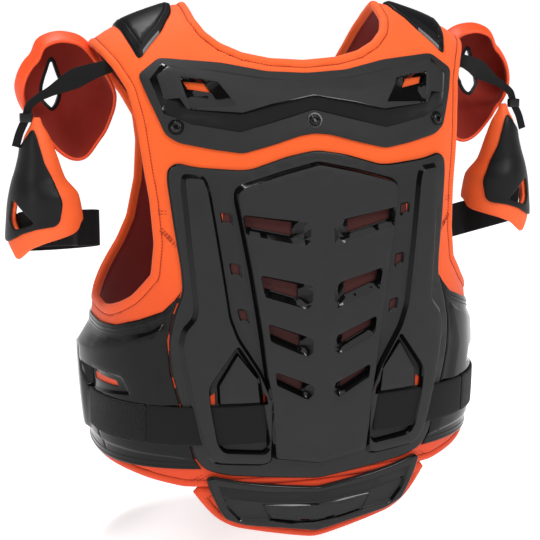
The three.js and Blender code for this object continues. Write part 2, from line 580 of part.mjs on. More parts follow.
const strapOutline = (grow) => {
  const half = STRAP_WIDTH / 2 + grow;
  const inner = STRAP_INNER_SHARE * MAIN_PLATE_WIDTH / 2 - grow;
  return [
    new THREE.Vector2(inner, STRAP_LEVEL - half),
    new THREE.Vector2(PATCH_REACH, STRAP_LEVEL - STRAP_SLANT - half),
    new THREE.Vector2(PATCH_REACH, STRAP_LEVEL - STRAP_SLANT + half),
    new THREE.Vector2(inner, STRAP_LEVEL + half),
  ];
};
const strapBottom = PLATE_LIFT + WING_WALL + PART_GAP;
const strapTop = strapBottom + STRAP_WALL;
const mainSized = (rows) => sized(rows, MAIN_PLATE_WIDTH, MAIN_PLATE_HEIGHT, MAIN_PLATE_TOP);
const mainOutline = mirroredOutline(mainSized(MAIN_PLATE_OUTLINE));

function mainBackPlate() {
  const centre = mirroredOutline(mainSized(CENTRE_PANEL_OUTLINE));
  const rail = backLayer(PLATE_LIFT, PLATE_LIFT + RAIL_RISE, mainSized(SIDE_RAIL_OUTLINE));
  const window = backLayer(flangeTop, NEAR, mainSized(WINDOW_OUTLINE));
  const tongue = backLayer(PLATE_LIFT, PLATE_LIFT + TONGUE_RISE, mainSized(TONGUE_OUTLINE));
  const tunnel = backLayer(flangeTop, strapTop + PART_GAP, strapOutline(SLOT_GAP));
  const sideParts = rail.subtract(window).add(tongue).subtract(tunnel);
  let plate = backLayer(PLATE_LIFT, flangeTop, mainOutline).add(bothSides(sideParts));
  plate = plate.add(backLayer(PLATE_LIFT, PLATE_LIFT + CENTRE_RISE, centre));
  for (const vent of [...CENTRE_VENTS, ...SIDE_VENTS]) {
    plate = plate.subtract(bothSides(prism(mainSized(vent), -FAR, 0)));
  }
  return plate;
}

// Place and outward direction on a layer of the back, under a given x and z
function backSeat(x, z, offset) {
  const place = new THREE.Vector2(Math.asin(x / (CHEST_WIDTH / 2)), 0.3);
  for (let turn = 0; turn < SEAT_TURNS; turn += 1) {
    const point = bodyPoint(place.x, place.y);
    place.x += (x - point.x) / CHEST_WIDTH;
    place.y += (point.z - z) / GARMENT_RUN;
  }
  const normal = surfaceNormal(bodyPoint, place.x, place.y);
  if (normal.y > 0) {
    normal.negate();
  }
  return { point: bodyPoint(place.x, place.y).addScaledVector(normal, offset), normal };
}

function boltCylinder(x, z, radius, from, to) {
  const { point, normal } = backSeat(x, z, PLATE_LIFT + UPPER_RISE);
  const geometry = new THREE.CylinderGeometry(radius, radius, to - from, BOLT_SIDES);
  geometry.translate(0, (from + to) / 2, 0);
  geometry.applyQuaternion(new THREE.Quaternion().setFromUnitVectors(new THREE.Vector3(0, 1, 0), normal));
  geometry.translate(point.x, point.y, point.z);
  return geometrySolid(geometry);
}

const boltPlaces = {
  left: new THREE.Vector2(-SIDE_BOLT_REACH, SIDE_BOLT_LEVEL),
  centre: new THREE.Vector2(0, CENTRE_BOLT_LEVEL),
  right: new THREE.Vector2(SIDE_BOLT_REACH, SIDE_BOLT_LEVEL),
};

// Depth of a bolt's seat below the top of the raised face
const boltDepth = UPPER_RISE - FLANGE_WALL + BOLT_SINK;

function plateBolt(place) {
  const seat = -boltDepth;
  return boltCylinder(place.x, place.y, BOLT_RADIUS, seat + PART_GAP, seat + PART_GAP + BOLT_HEIGHT);
}

function upperBackPlate() {
  const size = (rows) => sized(rows, UPPER_PLATE_WIDTH, UPPER_PLATE_HEIGHT, UPPER_PLATE_TOP);
  const outline = mirroredOutline(size(UPPER_PLATE_OUTLINE));
  const raised = mirroredOutline(size(UPPER_RAISED_OUTLINE));
  let plate = backLayer(PLATE_LIFT, flangeTop, outline);
  plate = plate.add(backLayer(PLATE_LIFT, PLATE_LIFT + UPPER_RISE, raised));
  plate = plate.subtract(bothSides(prism(size(UPPER_VENT_OUTLINE), -FAR, 0)));
  for (const place of Object.values(boltPlaces)) {
    plate = plate.subtract(boltCylinder(place.x, place.y, BOLT_RADIUS + BOLT_RECESS, -boltDepth, NEAR));
  }
  return plate;
}

function tailPlate() {
  const size = (rows) => mirroredOutline(sized(rows, TAIL_PLATE_WIDTH, TAIL_PLATE_HEIGHT, -VEST_LENGTH));
  const recess = backLayer(flangeTop, NEAR, size(TAIL_RECESS_OUTLINE));
  return backLayer(PLATE_LIFT, PLATE_LIFT + TAIL_PLATE_WALL, size(TAIL_PLATE_OUTLINE)).subtract(recess);
}

function chestPlate() {
  const outline = mirroredOutline(
    sized(CHEST_PLATE_OUTLINE, CHEST_PLATE_WIDTH, CHEST_PLATE_HEIGHT, CHEST_PLATE_TOP),
  );
  return layer(PLATE_LIFT, PLATE_LIFT + CHEST_PLATE_WALL).intersect(prism(outline, 0, FAR));
}

function sideWing() {
  const outline = sized(WING_OUTLINE, VEST_WIDTH, WING_HEIGHT, WING_TOP);
  const wing = layer(PLATE_LIFT, PLATE_LIFT + WING_WALL).intersect(prism(outline, -FAR, WING_FRONT_REACH));
  return wing.subtract(prism(grown(mainOutline, SLOT_GAP), -FAR, 0));
}

function waistStrap() {
  return backLayer(strapBottom, strapTop, strapOutline(0));
}

function loopPatch() {
  const top = STRAP_LEVEL - STRAP_SLANT + STRAP_WIDTH / 2;
  const inner = PATCH_REACH + PART_GAP;
  const outline = [
    new THREE.Vector2(inner, top - STRAP_WIDTH),
    new THREE.Vector2(FAR, top - STRAP_WIDTH),
    new THREE.Vector2(FAR, top),
    new THREE.Vector2(inner, top),
  ];
  return layer(strapBottom, strapBottom + PATCH_WALL).intersect(prism(outline, -FAR, PATCH_FRONT));
}

function shoulderPad() {
  const outline = SHOULDER_PAD_OUTLINE.map(({ x, y }) => new THREE.Vector2(
    SHOULDER_PAD_REACH + x * SHOULDER_PAD_LENGTH / 2,
    y * SHOULDER_PAD_DEPTH / 2,
  ));
  return layer(PLATE_LIFT, PLATE_LIFT + SHOULDER_PAD_WALL).intersect(tower(outline, -FAR, FAR));
}

// Shoulder cup: a hood whose rim rolls over at the top and runs out to a flap below
const rimByAngle = [...CUP_RIM].reverse();
function cupPoint(angle, share) {
  const reach = tableValue(rimByAngle, 'angle', 'reach', angle) * CUP_REACH;
  const hood = tableValue(rimByAngle, 'angle', 'hood', angle);
  const steps = CUP_PROFILE.length - 1;
  const place = Math.min(Math.max(share, 0), 1) * steps;
  const low = Math.min(Math.floor(place), steps - 1);
  const mix = (name) => THREE.MathUtils.lerp(CUP_PROFILE[low][name], CUP_PROFILE[low + 1][name], place - low);
  const radius = reach * THREE.MathUtils.lerp(mix('flatRadius'), mix('hoodRadius'), hood);
  const depth = CUP_DEPTH * THREE.MathUtils.lerp(mix('flatDepth'), mix('hoodDepth'), hood);
  return new THREE.Vector3(
    CUP_CENTRE.x + radius * Math.cos(degrees(angle)),
    CUP_CENTRE.y + depth,
    CUP_CENTRE.z + radius * Math.sin(degrees(angle)),
  );
}

function cupNormal(surface, angle, share) {
  if (share > 0.999) {
    return new THREE.Vector3(0, 1, 0);
  }
  const along = surface(angle + CUP_ANGLE_STEP, share).sub(surface(angle - CUP_ANGLE_STEP, share));
  const across = surface(angle, share + CUP_SHARE_STEP).sub(surface(angle, share - CUP_SHARE_STEP));
  const normal = along.cross(across).normalize();
  const outward = surface(angle, share).sub(CUP_CENTRE);
  return normal.dot(outward) < 0 ? normal.negate() : normal;
}

function shoulderCup() {
  const angles = Array.from({ length: CUP_COLUMNS }, (_, i) => -180 + i * 360 / CUP_COLUMNS);
  const shares = CUP_PROFILE.map((_, i) => i / (CUP_PROFILE.length - 1));
  const shell = slab(cupPoint, angles, shares, -CUP_WALL, 0, { wrap: true, normal: cupNormal });
  const window = CUP_WINDOW.map(({ x, drop }) => new THREE.Vector2(
    CUP_CENTRE.x + CUP_WINDOW_SHIFT + x * CUP_WINDOW_WIDTH,
    CUP_CENTRE.z + CUP_WINDOW_TOP - drop * CUP_WINDOW_HEIGHT,
  ));
  return shell.subtract(prism(window, -FAR, FAR));
}

// Arm guard: an orange pad that wraps the back and outside of the arm, with a black face on it
function guardPoint(angle, drop) {
  const column = (name) => tableValue(GUARD_ROWS, 'drop', name, drop) * GUARD_RADIUS;
  const radius = column('radius');
  return new THREE.Vector3(
    GUARD_REACH + column('out') + radius * Math.sin(degrees(angle)),
    column('ahead') - radius * Math.cos(degrees(angle)),
    GUARD_TOP - drop * GUARD_LENGTH,
  );
}

function guardNormal(surface, angle, drop) {
  const normal = surfaceNormal(surface, angle, drop);
  return normal.dot(new THREE.Vector3(Math.sin(degrees(angle)), -Math.cos(degrees(angle)), 0)) < 0
    ? normal.negate() : normal;
}

const guardOutline = (rows) => rows.map(({ x, drop }) => new THREE.Vector2(
  GUARD_REACH + x * GUARD_RADIUS,
  GUARD_TOP - drop * GUARD_LENGTH,
));

function guardShell(angles, inner, outer, outline) {
  const drops = GUARD_ROWS.map(({ drop }) => drop);
  const shell = slab(guardPoint, angles, drops, inner, outer, { normal: guardNormal });
  return shell.intersect(prism(guardOutline(outline), -FAR, FAR)).subtract(prism(guardOutline(GUARD_CUT), -FAR, 0));
}

function bicepPad() {
  return guardShell(PAD_ANGLES, -PAD_WALL, 0, PAD_OUTLINE);
}

function bicepGuard() {
  return guardShell(FACE_ANGLES, PLATE_LIFT, PLATE_LIFT + GUARD_WALL, FACE_OUTLINE);
}

// Elastic band round the arm
function bicepBand() {
  const path = new THREE.CatmullRomCurve3(
    BAND_PATH.map(({ x, y }) => new THREE.Vector3(
      GUARD_REACH - BAND_INSET_SHARE * GUARD_RADIUS + x * BAND_LENGTH_X,
      BAND_AHEAD_SHARE * GUARD_RADIUS + y * BAND_LENGTH_Y,
      GUARD_TOP - BAND_DROP_SHARE * GUARD_LENGTH,
    )),
    true,
  );
  const surface = (place, level) => {
    const point = path.getPoint(((place % 1) + 1) % 1);
    point.z += level * BAND_WIDTH;
    return point;
  };
  const places = Array.from({ length: BAND_COLUMNS }, (_, i) => i / BAND_COLUMNS);
  return slab(surface, places, [-0.5, 0.5], -BAND_WALL / 2, BAND_WALL / 2, { wrap: true });
}

// Points of the webbing over the cup, then on the guard
const overCup = WEBBING_OVER_CUP.map(({ x, y, z }) => (
  new THREE.Vector3(x, y, z).multiplyScalar(CUP_REACH).add(CUP_CENTRE)
));
const onGuard = WEBBING_ON_GUARD.map(({ x, y, drop }) => (
  new THREE.Vector3(GUARD_REACH + x * GUARD_RADIUS, y * GUARD_RADIUS, GUARD_TOP - drop * GUARD_LENGTH)
));
const webbingHalves = [...WEBBING_OVER_CUP, ...WEBBING_ON_GUARD].map(({ half }) => half * WEBBING_WIDTH);

// Flat webbing through its points, thicker and wider by twice a gap where it stands for its slot
function webbing(gap) {
  const points = [...overCup, ...onGuard];
  const facing = new THREE.Vector3(0, -1, 0);
  const surface = (station, side) => {
    const low = Math.min(Math.max(Math.floor(station), 0), points.length - 2);
    const point = points[low].clone().lerp(points[low + 1], station - low);
    const nearest = Math.min(Math.max(Math.round(station), 0), points.length - 1);
    const before = points[Math.max(nearest - 1, 0)];
    const after = points[Math.min(nearest + 1, points.length - 1)];
    const across = after.clone().sub(before).cross(facing).normalize();
    return point.addScaledVector(across, side * (webbingHalves[nearest] + gap));
  };
  const stations = points.map((_, i) => i);
  const reach = WEBBING_WALL / 2 + gap;
  return slab(surface, stations, [-1, 1], -reach, reach);
}

function strapKeeper() {
  const size = new THREE.Vector3(1, KEEPER_DEPTH_SHARE, KEEPER_HEIGHT_SHARE).multiplyScalar(KEEPER_SIZE);
  const shell = block(size, onGuard[0]);
  return shell.subtract(webbing(PART_GAP));
}

const finish = (colour, roughness, metalness = 0) => new THREE.MeshStandardMaterial({
  color: colour, roughness, metalness,
});

const part = new THREE.Group();

function place(name, piece, material) {
  const mesh = piece.getMesh();
  const geometry = new THREE.BufferGeometry();
  geometry.setAttribute('position', new THREE.BufferAttribute(mesh.vertProperties, 3));
  geometry.setIndex(new THREE.BufferAttribute(mesh.triVerts, 1));
  geometry.computeVertexNormals();
  const node = new THREE.Mesh(geometry, material);
  node.name = name;
  part.add(node);
}

function placePair(name, piece, colour, roughness) {
  place(`${name}_right`, piece, finish(colour, roughness));
  place(`${name}_left`, otherSide(piece), finish(colour, roughness));
}

place('back_pad', backPad(), finish(0xff6a20, 0.85));
place('front_pad', frontPad(), finish(0xff6a20, 0.85));
placePair('shoulder_strap', seamPiece(SEAM_SPLIT_LEVEL, FAR), 0xff6a20, 0.85);
placePair('waist_panel', seamPiece(-2 * FAR, SEAM_SPLIT_LEVEL), 0xff6a20, 0.85);
place('tail_pad', tailPad(), finish(0xf2581c, 0.85));
place('upper_back_plate', upperBackPlate(), finish(0x35363a, 0.5));
place('main_back_plate', mainBackPlate(), finish(0x3c3c3e, 0.6));
place('tail_plate', tailPlate(), finish(0x303032, 0.45));
place('chest_plate', chestPlate(), finish(0x3c3c3e, 0.6));
for (const [side, spot] of Object.entries(boltPlaces)) {
  place(`plate_bolt_${side}`, plateBolt(spot), finish(0x1a1a1c, 0.35));
}
placePair('side_wing', sideWing(), 0x0e0b0b, 0.15);
placePair('waist_strap', waistStrap(), 0x161616, 0.9);
placePair('loop_patch', loopPatch(), 0x1c1c1c, 0.95);
placePair('shoulder_pad', shoulderPad(), 0x1b1b1d, 0.55);
placePair('shoulder_cup', shoulderCup(), 0xff6f28, 0.6);
placePair('bicep_pad', bicepPad(), 0xff7a35, 0.7);
placePair('bicep_guard', bicepGuard(), 0x242424, 0.45);
placePair('bicep_band', bicepBand(), 0x121214, 0.9);
placePair('cup_strap', webbing(0), 0x141414, 0.9);
placePair('strap_keeper', strapKeeper(), 0x111111, 0.5);

export default part;
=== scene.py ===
"""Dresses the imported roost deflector: foam vest, hard plates, straps, shoulder cups and arm guards."""
import logging
import math
from dataclasses import dataclass, field
from enum import Enum
from typing import Callable

import bmesh
import bpy
import numpy as np
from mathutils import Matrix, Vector
from mathutils.geometry import delaunay_2d_cdt


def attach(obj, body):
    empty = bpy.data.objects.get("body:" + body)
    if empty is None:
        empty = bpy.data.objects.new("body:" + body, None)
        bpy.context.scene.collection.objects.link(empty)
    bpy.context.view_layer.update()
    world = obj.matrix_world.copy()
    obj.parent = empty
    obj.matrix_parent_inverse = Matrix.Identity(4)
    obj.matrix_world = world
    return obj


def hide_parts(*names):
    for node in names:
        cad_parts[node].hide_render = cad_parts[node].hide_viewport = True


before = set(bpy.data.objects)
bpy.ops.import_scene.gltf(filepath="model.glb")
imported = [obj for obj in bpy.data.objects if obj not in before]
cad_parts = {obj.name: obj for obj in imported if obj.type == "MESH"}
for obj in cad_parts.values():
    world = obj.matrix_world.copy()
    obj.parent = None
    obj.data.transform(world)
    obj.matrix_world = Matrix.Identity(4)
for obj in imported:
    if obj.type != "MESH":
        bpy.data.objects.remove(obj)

LOG = logging.getLogger("roost_deflector")
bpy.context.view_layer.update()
MM = 0.001
Pairs = list[tuple[float, float]]

# Sections of the body from the shoulder ridge down: run, drop, width, back, front, corner exponent
BODY_ROWS = np.array([
    (0, 0, 0.438, 0.06, 0.07, 1.98), (0.046, 0.0149, 0.603, 0.226, 0.224, 2.07),
    (0.1, 0.0399, 0.785, 0.39, 0.397, 2.16), (0.153, 0.0797, 0.963, 0.526, 0.552, 2.25),
    (0.199, 0.1279, 1, 0.69, 0.707, 2.34), (0.264, 0.2002, 0.977, 0.827, 0.845, 2.52),
    (0.356, 0.302, 0.936, 0.917, 0.931, 2.61), (0.463, 0.4189, 0.918, 0.97, 0.983, 2.7),
    (0.571, 0.535, 0.932, 0.992, 1, 2.7), (0.678, 0.651, 0.95, 1, 1, 2.7),
    (0.77, 0.7505, 0.95, 0.977, 0.983, 2.61), (0.877, 0.8676, 0.922, 0.932, 0.948, 2.52),
    (1, 1, 0.877, 0.88, 0.897, 2.43),
])

# Half outlines seen from behind, as shares of half a width and of a height below a top level
BACK_NECK = [(0, 0.075), (0.17, 0.07), (0.3, 0.058), (0.4, 0.038), (0.46, 0.015), (0.49, -0.012),
             (0.5, -0.06)]
BACK_ARMHOLE = [(1, -0.06), (1, 0.04), (0.98, 0.055), (0.925, 0.09), (0.875, 0.135), (0.848, 0.2),
                (0.825, 0.3), (0.805, 0.366), (0.793, 0.457), (0.81, 0.524), (0.893, 0.575), (0.99, 0.614),
                (1.2, 0.63)]
BACK_HEM = [(1.2, 0.963), (1, 0.966), (0.927, 0.974), (0.82, 0.987), (0.673, 1), (0, 1)]
FRONT_NECK = [(0, 0.237), (0.17, 0.224), (0.3, 0.19), (0.4, 0.13), (0.455, 0.054), (0.49, -0.005),
              (0.5, -0.06)]
FRONT_ARMHOLE = [(1, -0.06), (1, 0.04), (0.94, 0.085), (0.78, 0.165), (0.7, 0.22), (0.68, 0.28),
                 (0.69, 0.37), (0.737, 0.46), (0.8, 0.51), (0.907, 0.565), (0.99, 0.612), (1.2, 0.63)]
FRONT_HEM = [(1.2, 0.963), (0.927, 0.948), (0.585, 0.916), (0, 0.894)]
TAIL_PAD = [(0, 0), (1, 0), (1, 0.06), (0.908, 0.32), (0.808, 0.545), (0.677, 0.7), (0.423, 0.82),
            (0.123, 0.955), (0, 1)]
TAIL_PLATE = [(0, 0.2), (0.5, 0.07), (0.715, 0), (0.957, -0.1), (1, -0.06), (0.974, 0.12), (0.888, 0.455),
              (0.836, 0.6), (0.672, 0.71), (0.422, 0.78), (0.233, 0.84), (0, 0.92)]
UPPER_PLATE = [(0, 0.175), (0.25, 0.15), (0.515, 0.055), (0.635, 0.035), (0.87, 0), (1, 0.175),
               (0.965, 0.385), (0.88, 0.8), (0.815, 0.88), (0.615, 0.955), (0.45, 1), (0.27, 0.92),
               (0.095, 0.83), (0, 0.81)]
MAIN_PLATE = [(0, 0), (0.2, 0.015), (0.45, 0.049), (0.53, 0.05), (0.8, 0.04), (0.92, 0.027), (0.974, 0.045),
              (0.98, 0.08), (0.947, 0.22), (0.914, 0.335), (0.907, 0.4), (0.967, 0.475), (1, 0.55),
              (0.987, 0.64), (0.907, 0.795), (0.848, 0.905), (0.785, 0.945), (0.65, 0.965), (0.364, 0.98),
              (0, 1)]
CHEST_PLATE = [(0, 0), (0.55, -0.02), (0.85, 0.04), (1, 0.2), (0.96, 0.6), (0.7, 0.9), (0.4, 1), (0, 1)]


class Side(Enum):
    """The two sides of the body, with the sign of X on each."""

    RIGHT = 1
    LEFT = -1

    @property
    def label(self) -> str:
        """Ending of the names of this side's pieces."""
        return self.name.lower()

    @property
    def turn(self) -> np.ndarray:
        """Factors that bring a right piece to this side."""
        return np.array([self.value, 1, 1])


def half_sized(rows: Pairs, width: float, height: float, top: float) -> np.ndarray:
    """Half outline in millimetres.

    Args:
        rows: pairs of shares, x of half the width and drop of the height.
        width, height: whole size of the piece.
        top: level of its top.

    Returns:
        One x and z per row.
    """
    table = np.array(rows, float)
    return np.column_stack([table[:, 0] * width / 2, top - table[:, 1] * height])


def mirrored(half: np.ndarray) -> np.ndarray:
    """Whole outline of a half outline that starts and ends on the centre line."""
    other = half[1:-1][::-1] * np.array([-1, 1])
    return np.vstack([half, other])


def turn_of(outline: np.ndarray) -> float:
    """1 for an outline that runs anticlockwise, -1 for one that runs clockwise."""
    after = np.roll(outline, -1, axis=0)
    return math.copysign(1, float(np.sum(outline[:, 0] * after[:, 1] - after[:, 0] * outline[:, 1])))


def grown(outline: np.ndarray, distance: float) -> np.ndarray:
    """Outline moved outward by a distance, or inward by a negative one."""
    before = unit(outline - np.roll(outline, 1, axis=0))
    after = unit(np.roll(outline, -1, axis=0) - outline)
    first = np.column_stack([before[:, 1], -before[:, 0]])
    second = np.column_stack([after[:, 1], -after[:, 0]])
    mitre = unit(first + second)
    reach = distance * turn_of(outline) / np.maximum(np.sum(mitre * first, axis=1), 0.6)
    return outline + mitre * reach[:, None]


def rounded(outline: np.ndarray, radius: float, steps: int = 4) -> np.ndarray:
    """Outline with each corner turned into a short curve.

    Args:
        outline: corners of a closed outline.
        radius: reach of the curve along each side of a corner.
        steps: chords in each curve.

    Returns:
        The new corners.
    """
    points = []
    count = len(outline)
    for i in range(count):
        corner, back, ahead = outline[i], outline[i - 1], outline[(i + 1) % count]
        to_back, to_ahead = back - corner, ahead - corner
        lengths = np.linalg.norm(to_back), np.linalg.norm(to_ahead)
        reach = min(radius, 0.45 * lengths[0], 0.45 * lengths[1])
        start = corner + to_back / lengths[0] * reach
        end = corner + to_ahead / lengths[1] * reach
        for step in range(steps + 1):
            t = step / steps
            points.append((1 - t) ** 2 * start + 2 * t * (1 - t) * corner + t * t * end)
    return np.array(points)


def densified(outline: np.ndarray, longest: float, closed: bool = True) -> np.ndarray:
    """Outline with no side longer than a length."""
    points = []
    last = len(outline) if closed else len(outline) - 1
    for i in range(last):
        start, end = outline[i], outline[(i + 1) % len(outline)]
        count = max(1, math.ceil(np.linalg.norm(end - start) / longest))
        points.extend(start + (end - start) * k / count for k in range(count))
    if not closed:
        points.append(outline[-1])
    return np.array(points)


def path_distance(places: np.ndarray, path: np.ndarray, closed: bool) -> np.ndarray:
    """Distance of each place from a path."""
    starts = path if closed else path[:-1]
    ends = np.roll(path, -1, axis=0) if closed else path[1:]
    best = np.full(len(places), np.inf)
    for start, end in zip(starts, ends):
        span = end - start
        length = max(float(span @ span), 1e-12)
        t = np.clip((places - start) @ span / length, 0, 1)
        best = np.minimum(best, np.linalg.norm(places - start - t[:, None] * span, axis=1))
    return best


def inside_distance(places: np.ndarray, outline: np.ndarray) -> np.ndarray:
    """Distance of each place from a closed outline, positive inside it."""
    odd = np.zeros(len(places), bool)
    for start, end in zip(outline, np.roll(outline, -1, axis=0)):
        if start[1] == end[1]:
            continue
        between = (places[:, 1] > min(start[1], end[1])) & (places[:, 1] <= max(start[1], end[1]))
        cross = start[0] + (places[:, 1] - start[1]) * (end[0] - start[0]) / (end[1] - start[1])
        odd ^= between & (places[:, 0] < cross)
    return np.where(odd, 1, -1) * path_distance(places, outline, True)


def smooth(t: np.ndarray) -> np.ndarray:
    """Smooth step from 0 to 1."""
    t = np.clip(t, 0, 1)
    return t * t * (3 - 2 * t)


def unit(vectors: np.ndarray) -> np.ndarray:
    """Vectors along the last axis, each made one long."""
    return vectors / np.maximum(np.linalg.norm(vectors, axis=-1, keepdims=True), 1e-9)


def sideways(path: np.ndarray) -> np.ndarray:
    """Direction across an open plane path at each of its points."""
    ahead = unit(np.gradient(path, axis=0))
    return np.column_stack([-ahead[:, 1], ahead[:, 0]])


def lengths_along(path: np.ndarray) -> np.ndarray:
    """Length from the start of a path to each of its points."""
    return np.concatenate([[0], np.cumsum(np.linalg.norm(np.diff(path, axis=0), axis=1))])


def hermite(knots: np.ndarray, values: np.ndarray, slopes: np.ndarray, at: np.ndarray) -> np.ndarray:
    """Cubic curve through knots with a given slope at each."""
    low = np.clip(np.searchsorted(knots, at) - 1, 0, len(knots) - 2)
    span = knots[low + 1] - knots[low]
    t = (np.asarray(at, float) - knots[low]) / span
    square, cube = t * t, t * t * t
    return ((2 * cube - 3 * square + 1) * values[low] + (cube - 2 * square + t) * span * slopes[low]
            + (3 * square - 2 * cube) * values[low + 1] + (cube - square) * span * slopes[low + 1])


def curve_value(knots: list[float], values: list[float], at: np.ndarray) -> np.ndarray:
    """Smooth curve through a table, level where the table turns back."""
    x, y = np.array(knots, float), np.array(values, float)
    step = np.diff(y) / np.diff(x)
    slope = np.zeros(len(x))
    same = step[:-1] * step[1:] > 0
    slope[1:-1] = np.where(same, 2 * step[:-1] * step[1:] / np.where(same, step[:-1] + step[1:], 1), 0)
    slope[0], slope[-1] = step[0], step[-1]
    return hermite(x, y, slope, at)


def quads(rows: int, columns: int, closed_rows: bool = False, closed_columns: bool = True) -> list[tuple]:
    """Faces of a grid of points.

    Args:
        rows, columns: size of the grid, which is stored row by row.
        closed_rows, closed_columns: whether the last row or column joins the first.

    Returns:
        Four vertex numbers per face.
    """
    return [
        (r * columns + c, r * columns + (c + 1) % columns,
         (r + 1) % rows * columns + (c + 1) % columns, (r + 1) % rows * columns + c)
        for r in range(rows if closed_rows else rows - 1)
        for c in range(columns if closed_columns else columns - 1)
    ]


def open_edges(faces: list) -> list[tuple[int, int]]:
    """Edges that only one face uses, in the direction in which it runs along them."""
    uses: dict[tuple[int, int], list] = {}
    for face in faces:
        for i, j in zip(face, face[1:] + face[:1]):
            uses.setdefault((min(i, j), max(i, j)), []).append((i, j))
    return [pairs[0] for pairs in uses.values() if len(pairs) == 1]


@dataclass(frozen=True)
class Torso:
    """The body that the garment is cut for, in millimetres."""

    chest_width: float = 438.0
    back_depth: float = 133.0
    front_depth: float = 116.0
    drop_length: float = 602.0
    rise: float = 22.0

    def column(self, index: int, run: np.ndarray) -> np.ndarray:
        """Smooth value of one column of BODY_ROWS at each run."""
        runs, values = BODY_ROWS[:, 0], BODY_ROWS[:, index]
        slopes = np.empty(len(runs))
        slopes[1:-1] = (values[2:] - values[:-2]) / (runs[2:] - runs[:-2])
        slopes[0] = (values[1] - values[0]) / (runs[1] - runs[0])
        slopes[-1] = (values[-1] - values[-2]) / (runs[-1] - runs[-2])
        return hermite(runs, values, slopes, run)

    def level(self, run: np.ndarray) -> np.ndarray:
        """Height of each run."""
        return self.rise - self.column(1, run) * self.drop_length

    def run_at(self, level: np.ndarray) -> np.ndarray:
        """Run at which the body is at each height."""
        runs = np.linspace(0, 1, 1201)
        return np.interp(-np.asarray(level, float), -self.level(runs), runs)

    def sizes(self, run: np.ndarray, back: np.ndarray | bool) -> tuple[np.ndarray, np.ndarray, np.ndarray]:
        """Half width, depth and corner exponent of the sections, on the back or on the front."""
        depth = np.where(back, self.column(3, run) * self.back_depth, self.column(4, run) * self.front_depth)
        return self.column(2, run) * self.chest_width / 2, depth, self.column(5, run)

    def excess(self, points: np.ndarray, run: np.ndarray) -> np.ndarray:
        """How far points lie outside the section of a run: 0 on it."""
        half, depth, power = self.sizes(run, points[:, 1] < 0)
        return np.abs(points[:, 0] / half) ** power + np.abs(points[:, 1] / depth) ** power - 1

    def on_section(self, turn: np.ndarray, run: np.ndarray) -> np.ndarray:
        """Points of the body by turn, 0 at the spine and pi / 2 at the right side, and by run."""
        cosine, sine = np.cos(turn), np.sin(turn)
        half, depth, power = self.sizes(run, cosine > 0)
        share = 2 / power
        return np.column_stack([
            half * np.sign(sine) * np.abs(sine) ** share,
            -depth * np.sign(cosine) * np.abs(cosine) ** share,
            self.level(run),
        ])

    def normals(self, points: np.ndarray, run: np.ndarray) -> np.ndarray:
        """Outward directions at points of the body."""
        half, depth, power = self.sizes(run, points[:, 1] < 0)
        step = 2e-3
        rise = self.level(run + step) - self.level(run - step)
        slope = (self.excess(points, run + step) - self.excess(points, run - step)) / rise
        gradient = np.column_stack([
            power * np.abs(points[:, 0] / half) ** (power - 1) * np.sign(points[:, 0]) / half,
            power * np.abs(points[:, 1] / depth) ** (power - 1) * np.sign(points[:, 1]) / depth,
            slope,
        ])
        return unit(gradient)

    def behind(self, x: np.ndarray, z: np.ndarray, height: np.ndarray, front: bool = False) -> np.ndarray:
        """Points of the back, or of the front, under given x and z.

        Args:
            x, z: place seen from behind.
            height: distance from the body.
            front: take the front of the body.

        Returns:
            One point per place.
        """
        base_x, base_z = np.array(x, float), np.array(z, float)
        sign = 1 if front else -1
        for _ in range(6):
            run = self.run_at(base_z)
            half, depth, power = self.sizes(run, not front)
            share = np.clip(1 - np.abs(base_x / half) ** power, 1e-4, None) ** (1 / power)
            points = np.column_stack([base_x, sign * depth * share, base_z])
            normals = self.normals(points, run)
            base_x = base_x + (x - points[:, 0] - normals[:, 0] * height)
            base_z = base_z + (z - points[:, 2] - normals[:, 2] * height)
        result = points + normals * height[:, None]
        result[:, 0], result[:, 2] = x, z
        return result

    def around(self, along: np.ndarray, z: np.ndarray, height: np.ndarray) -> np.ndarray:
        """Points by length round the right side from the spine, and by level.

        Args:
            along: length from the spine round the body at that level.
            z: level.
            height: distance from the body.

        Returns:
            One point per place.
        """
        run = self.run_at(z)
        turns = np.linspace(0, math.pi, 721)
        result = np.empty((len(along), 3))
        keys = np.round(run, 3)
        for key in np.unique(keys):
            chosen = keys == key
            section = self.on_section(turns, np.full(len(turns), key))
            turn = np.interp(along[chosen], lengths_along(section), turns)
            result[chosen] = self.on_section(turn, run[chosen])
        return result + self.normals(result, run) * np.asarray(height)[:, None]


TORSO = Torso()


def vest_outline(neck: Pairs, armhole: Pairs, hem: Pairs) -> np.ndarray:
    """Whole outline of the vest's back or front, in millimetres."""
    return mirrored(half_sized([*neck, *armhole, *hem], 410, 464, 0))


MAIN_OUTLINE = mirrored(half_sized(MAIN_PLATE, 302, 338, -123))


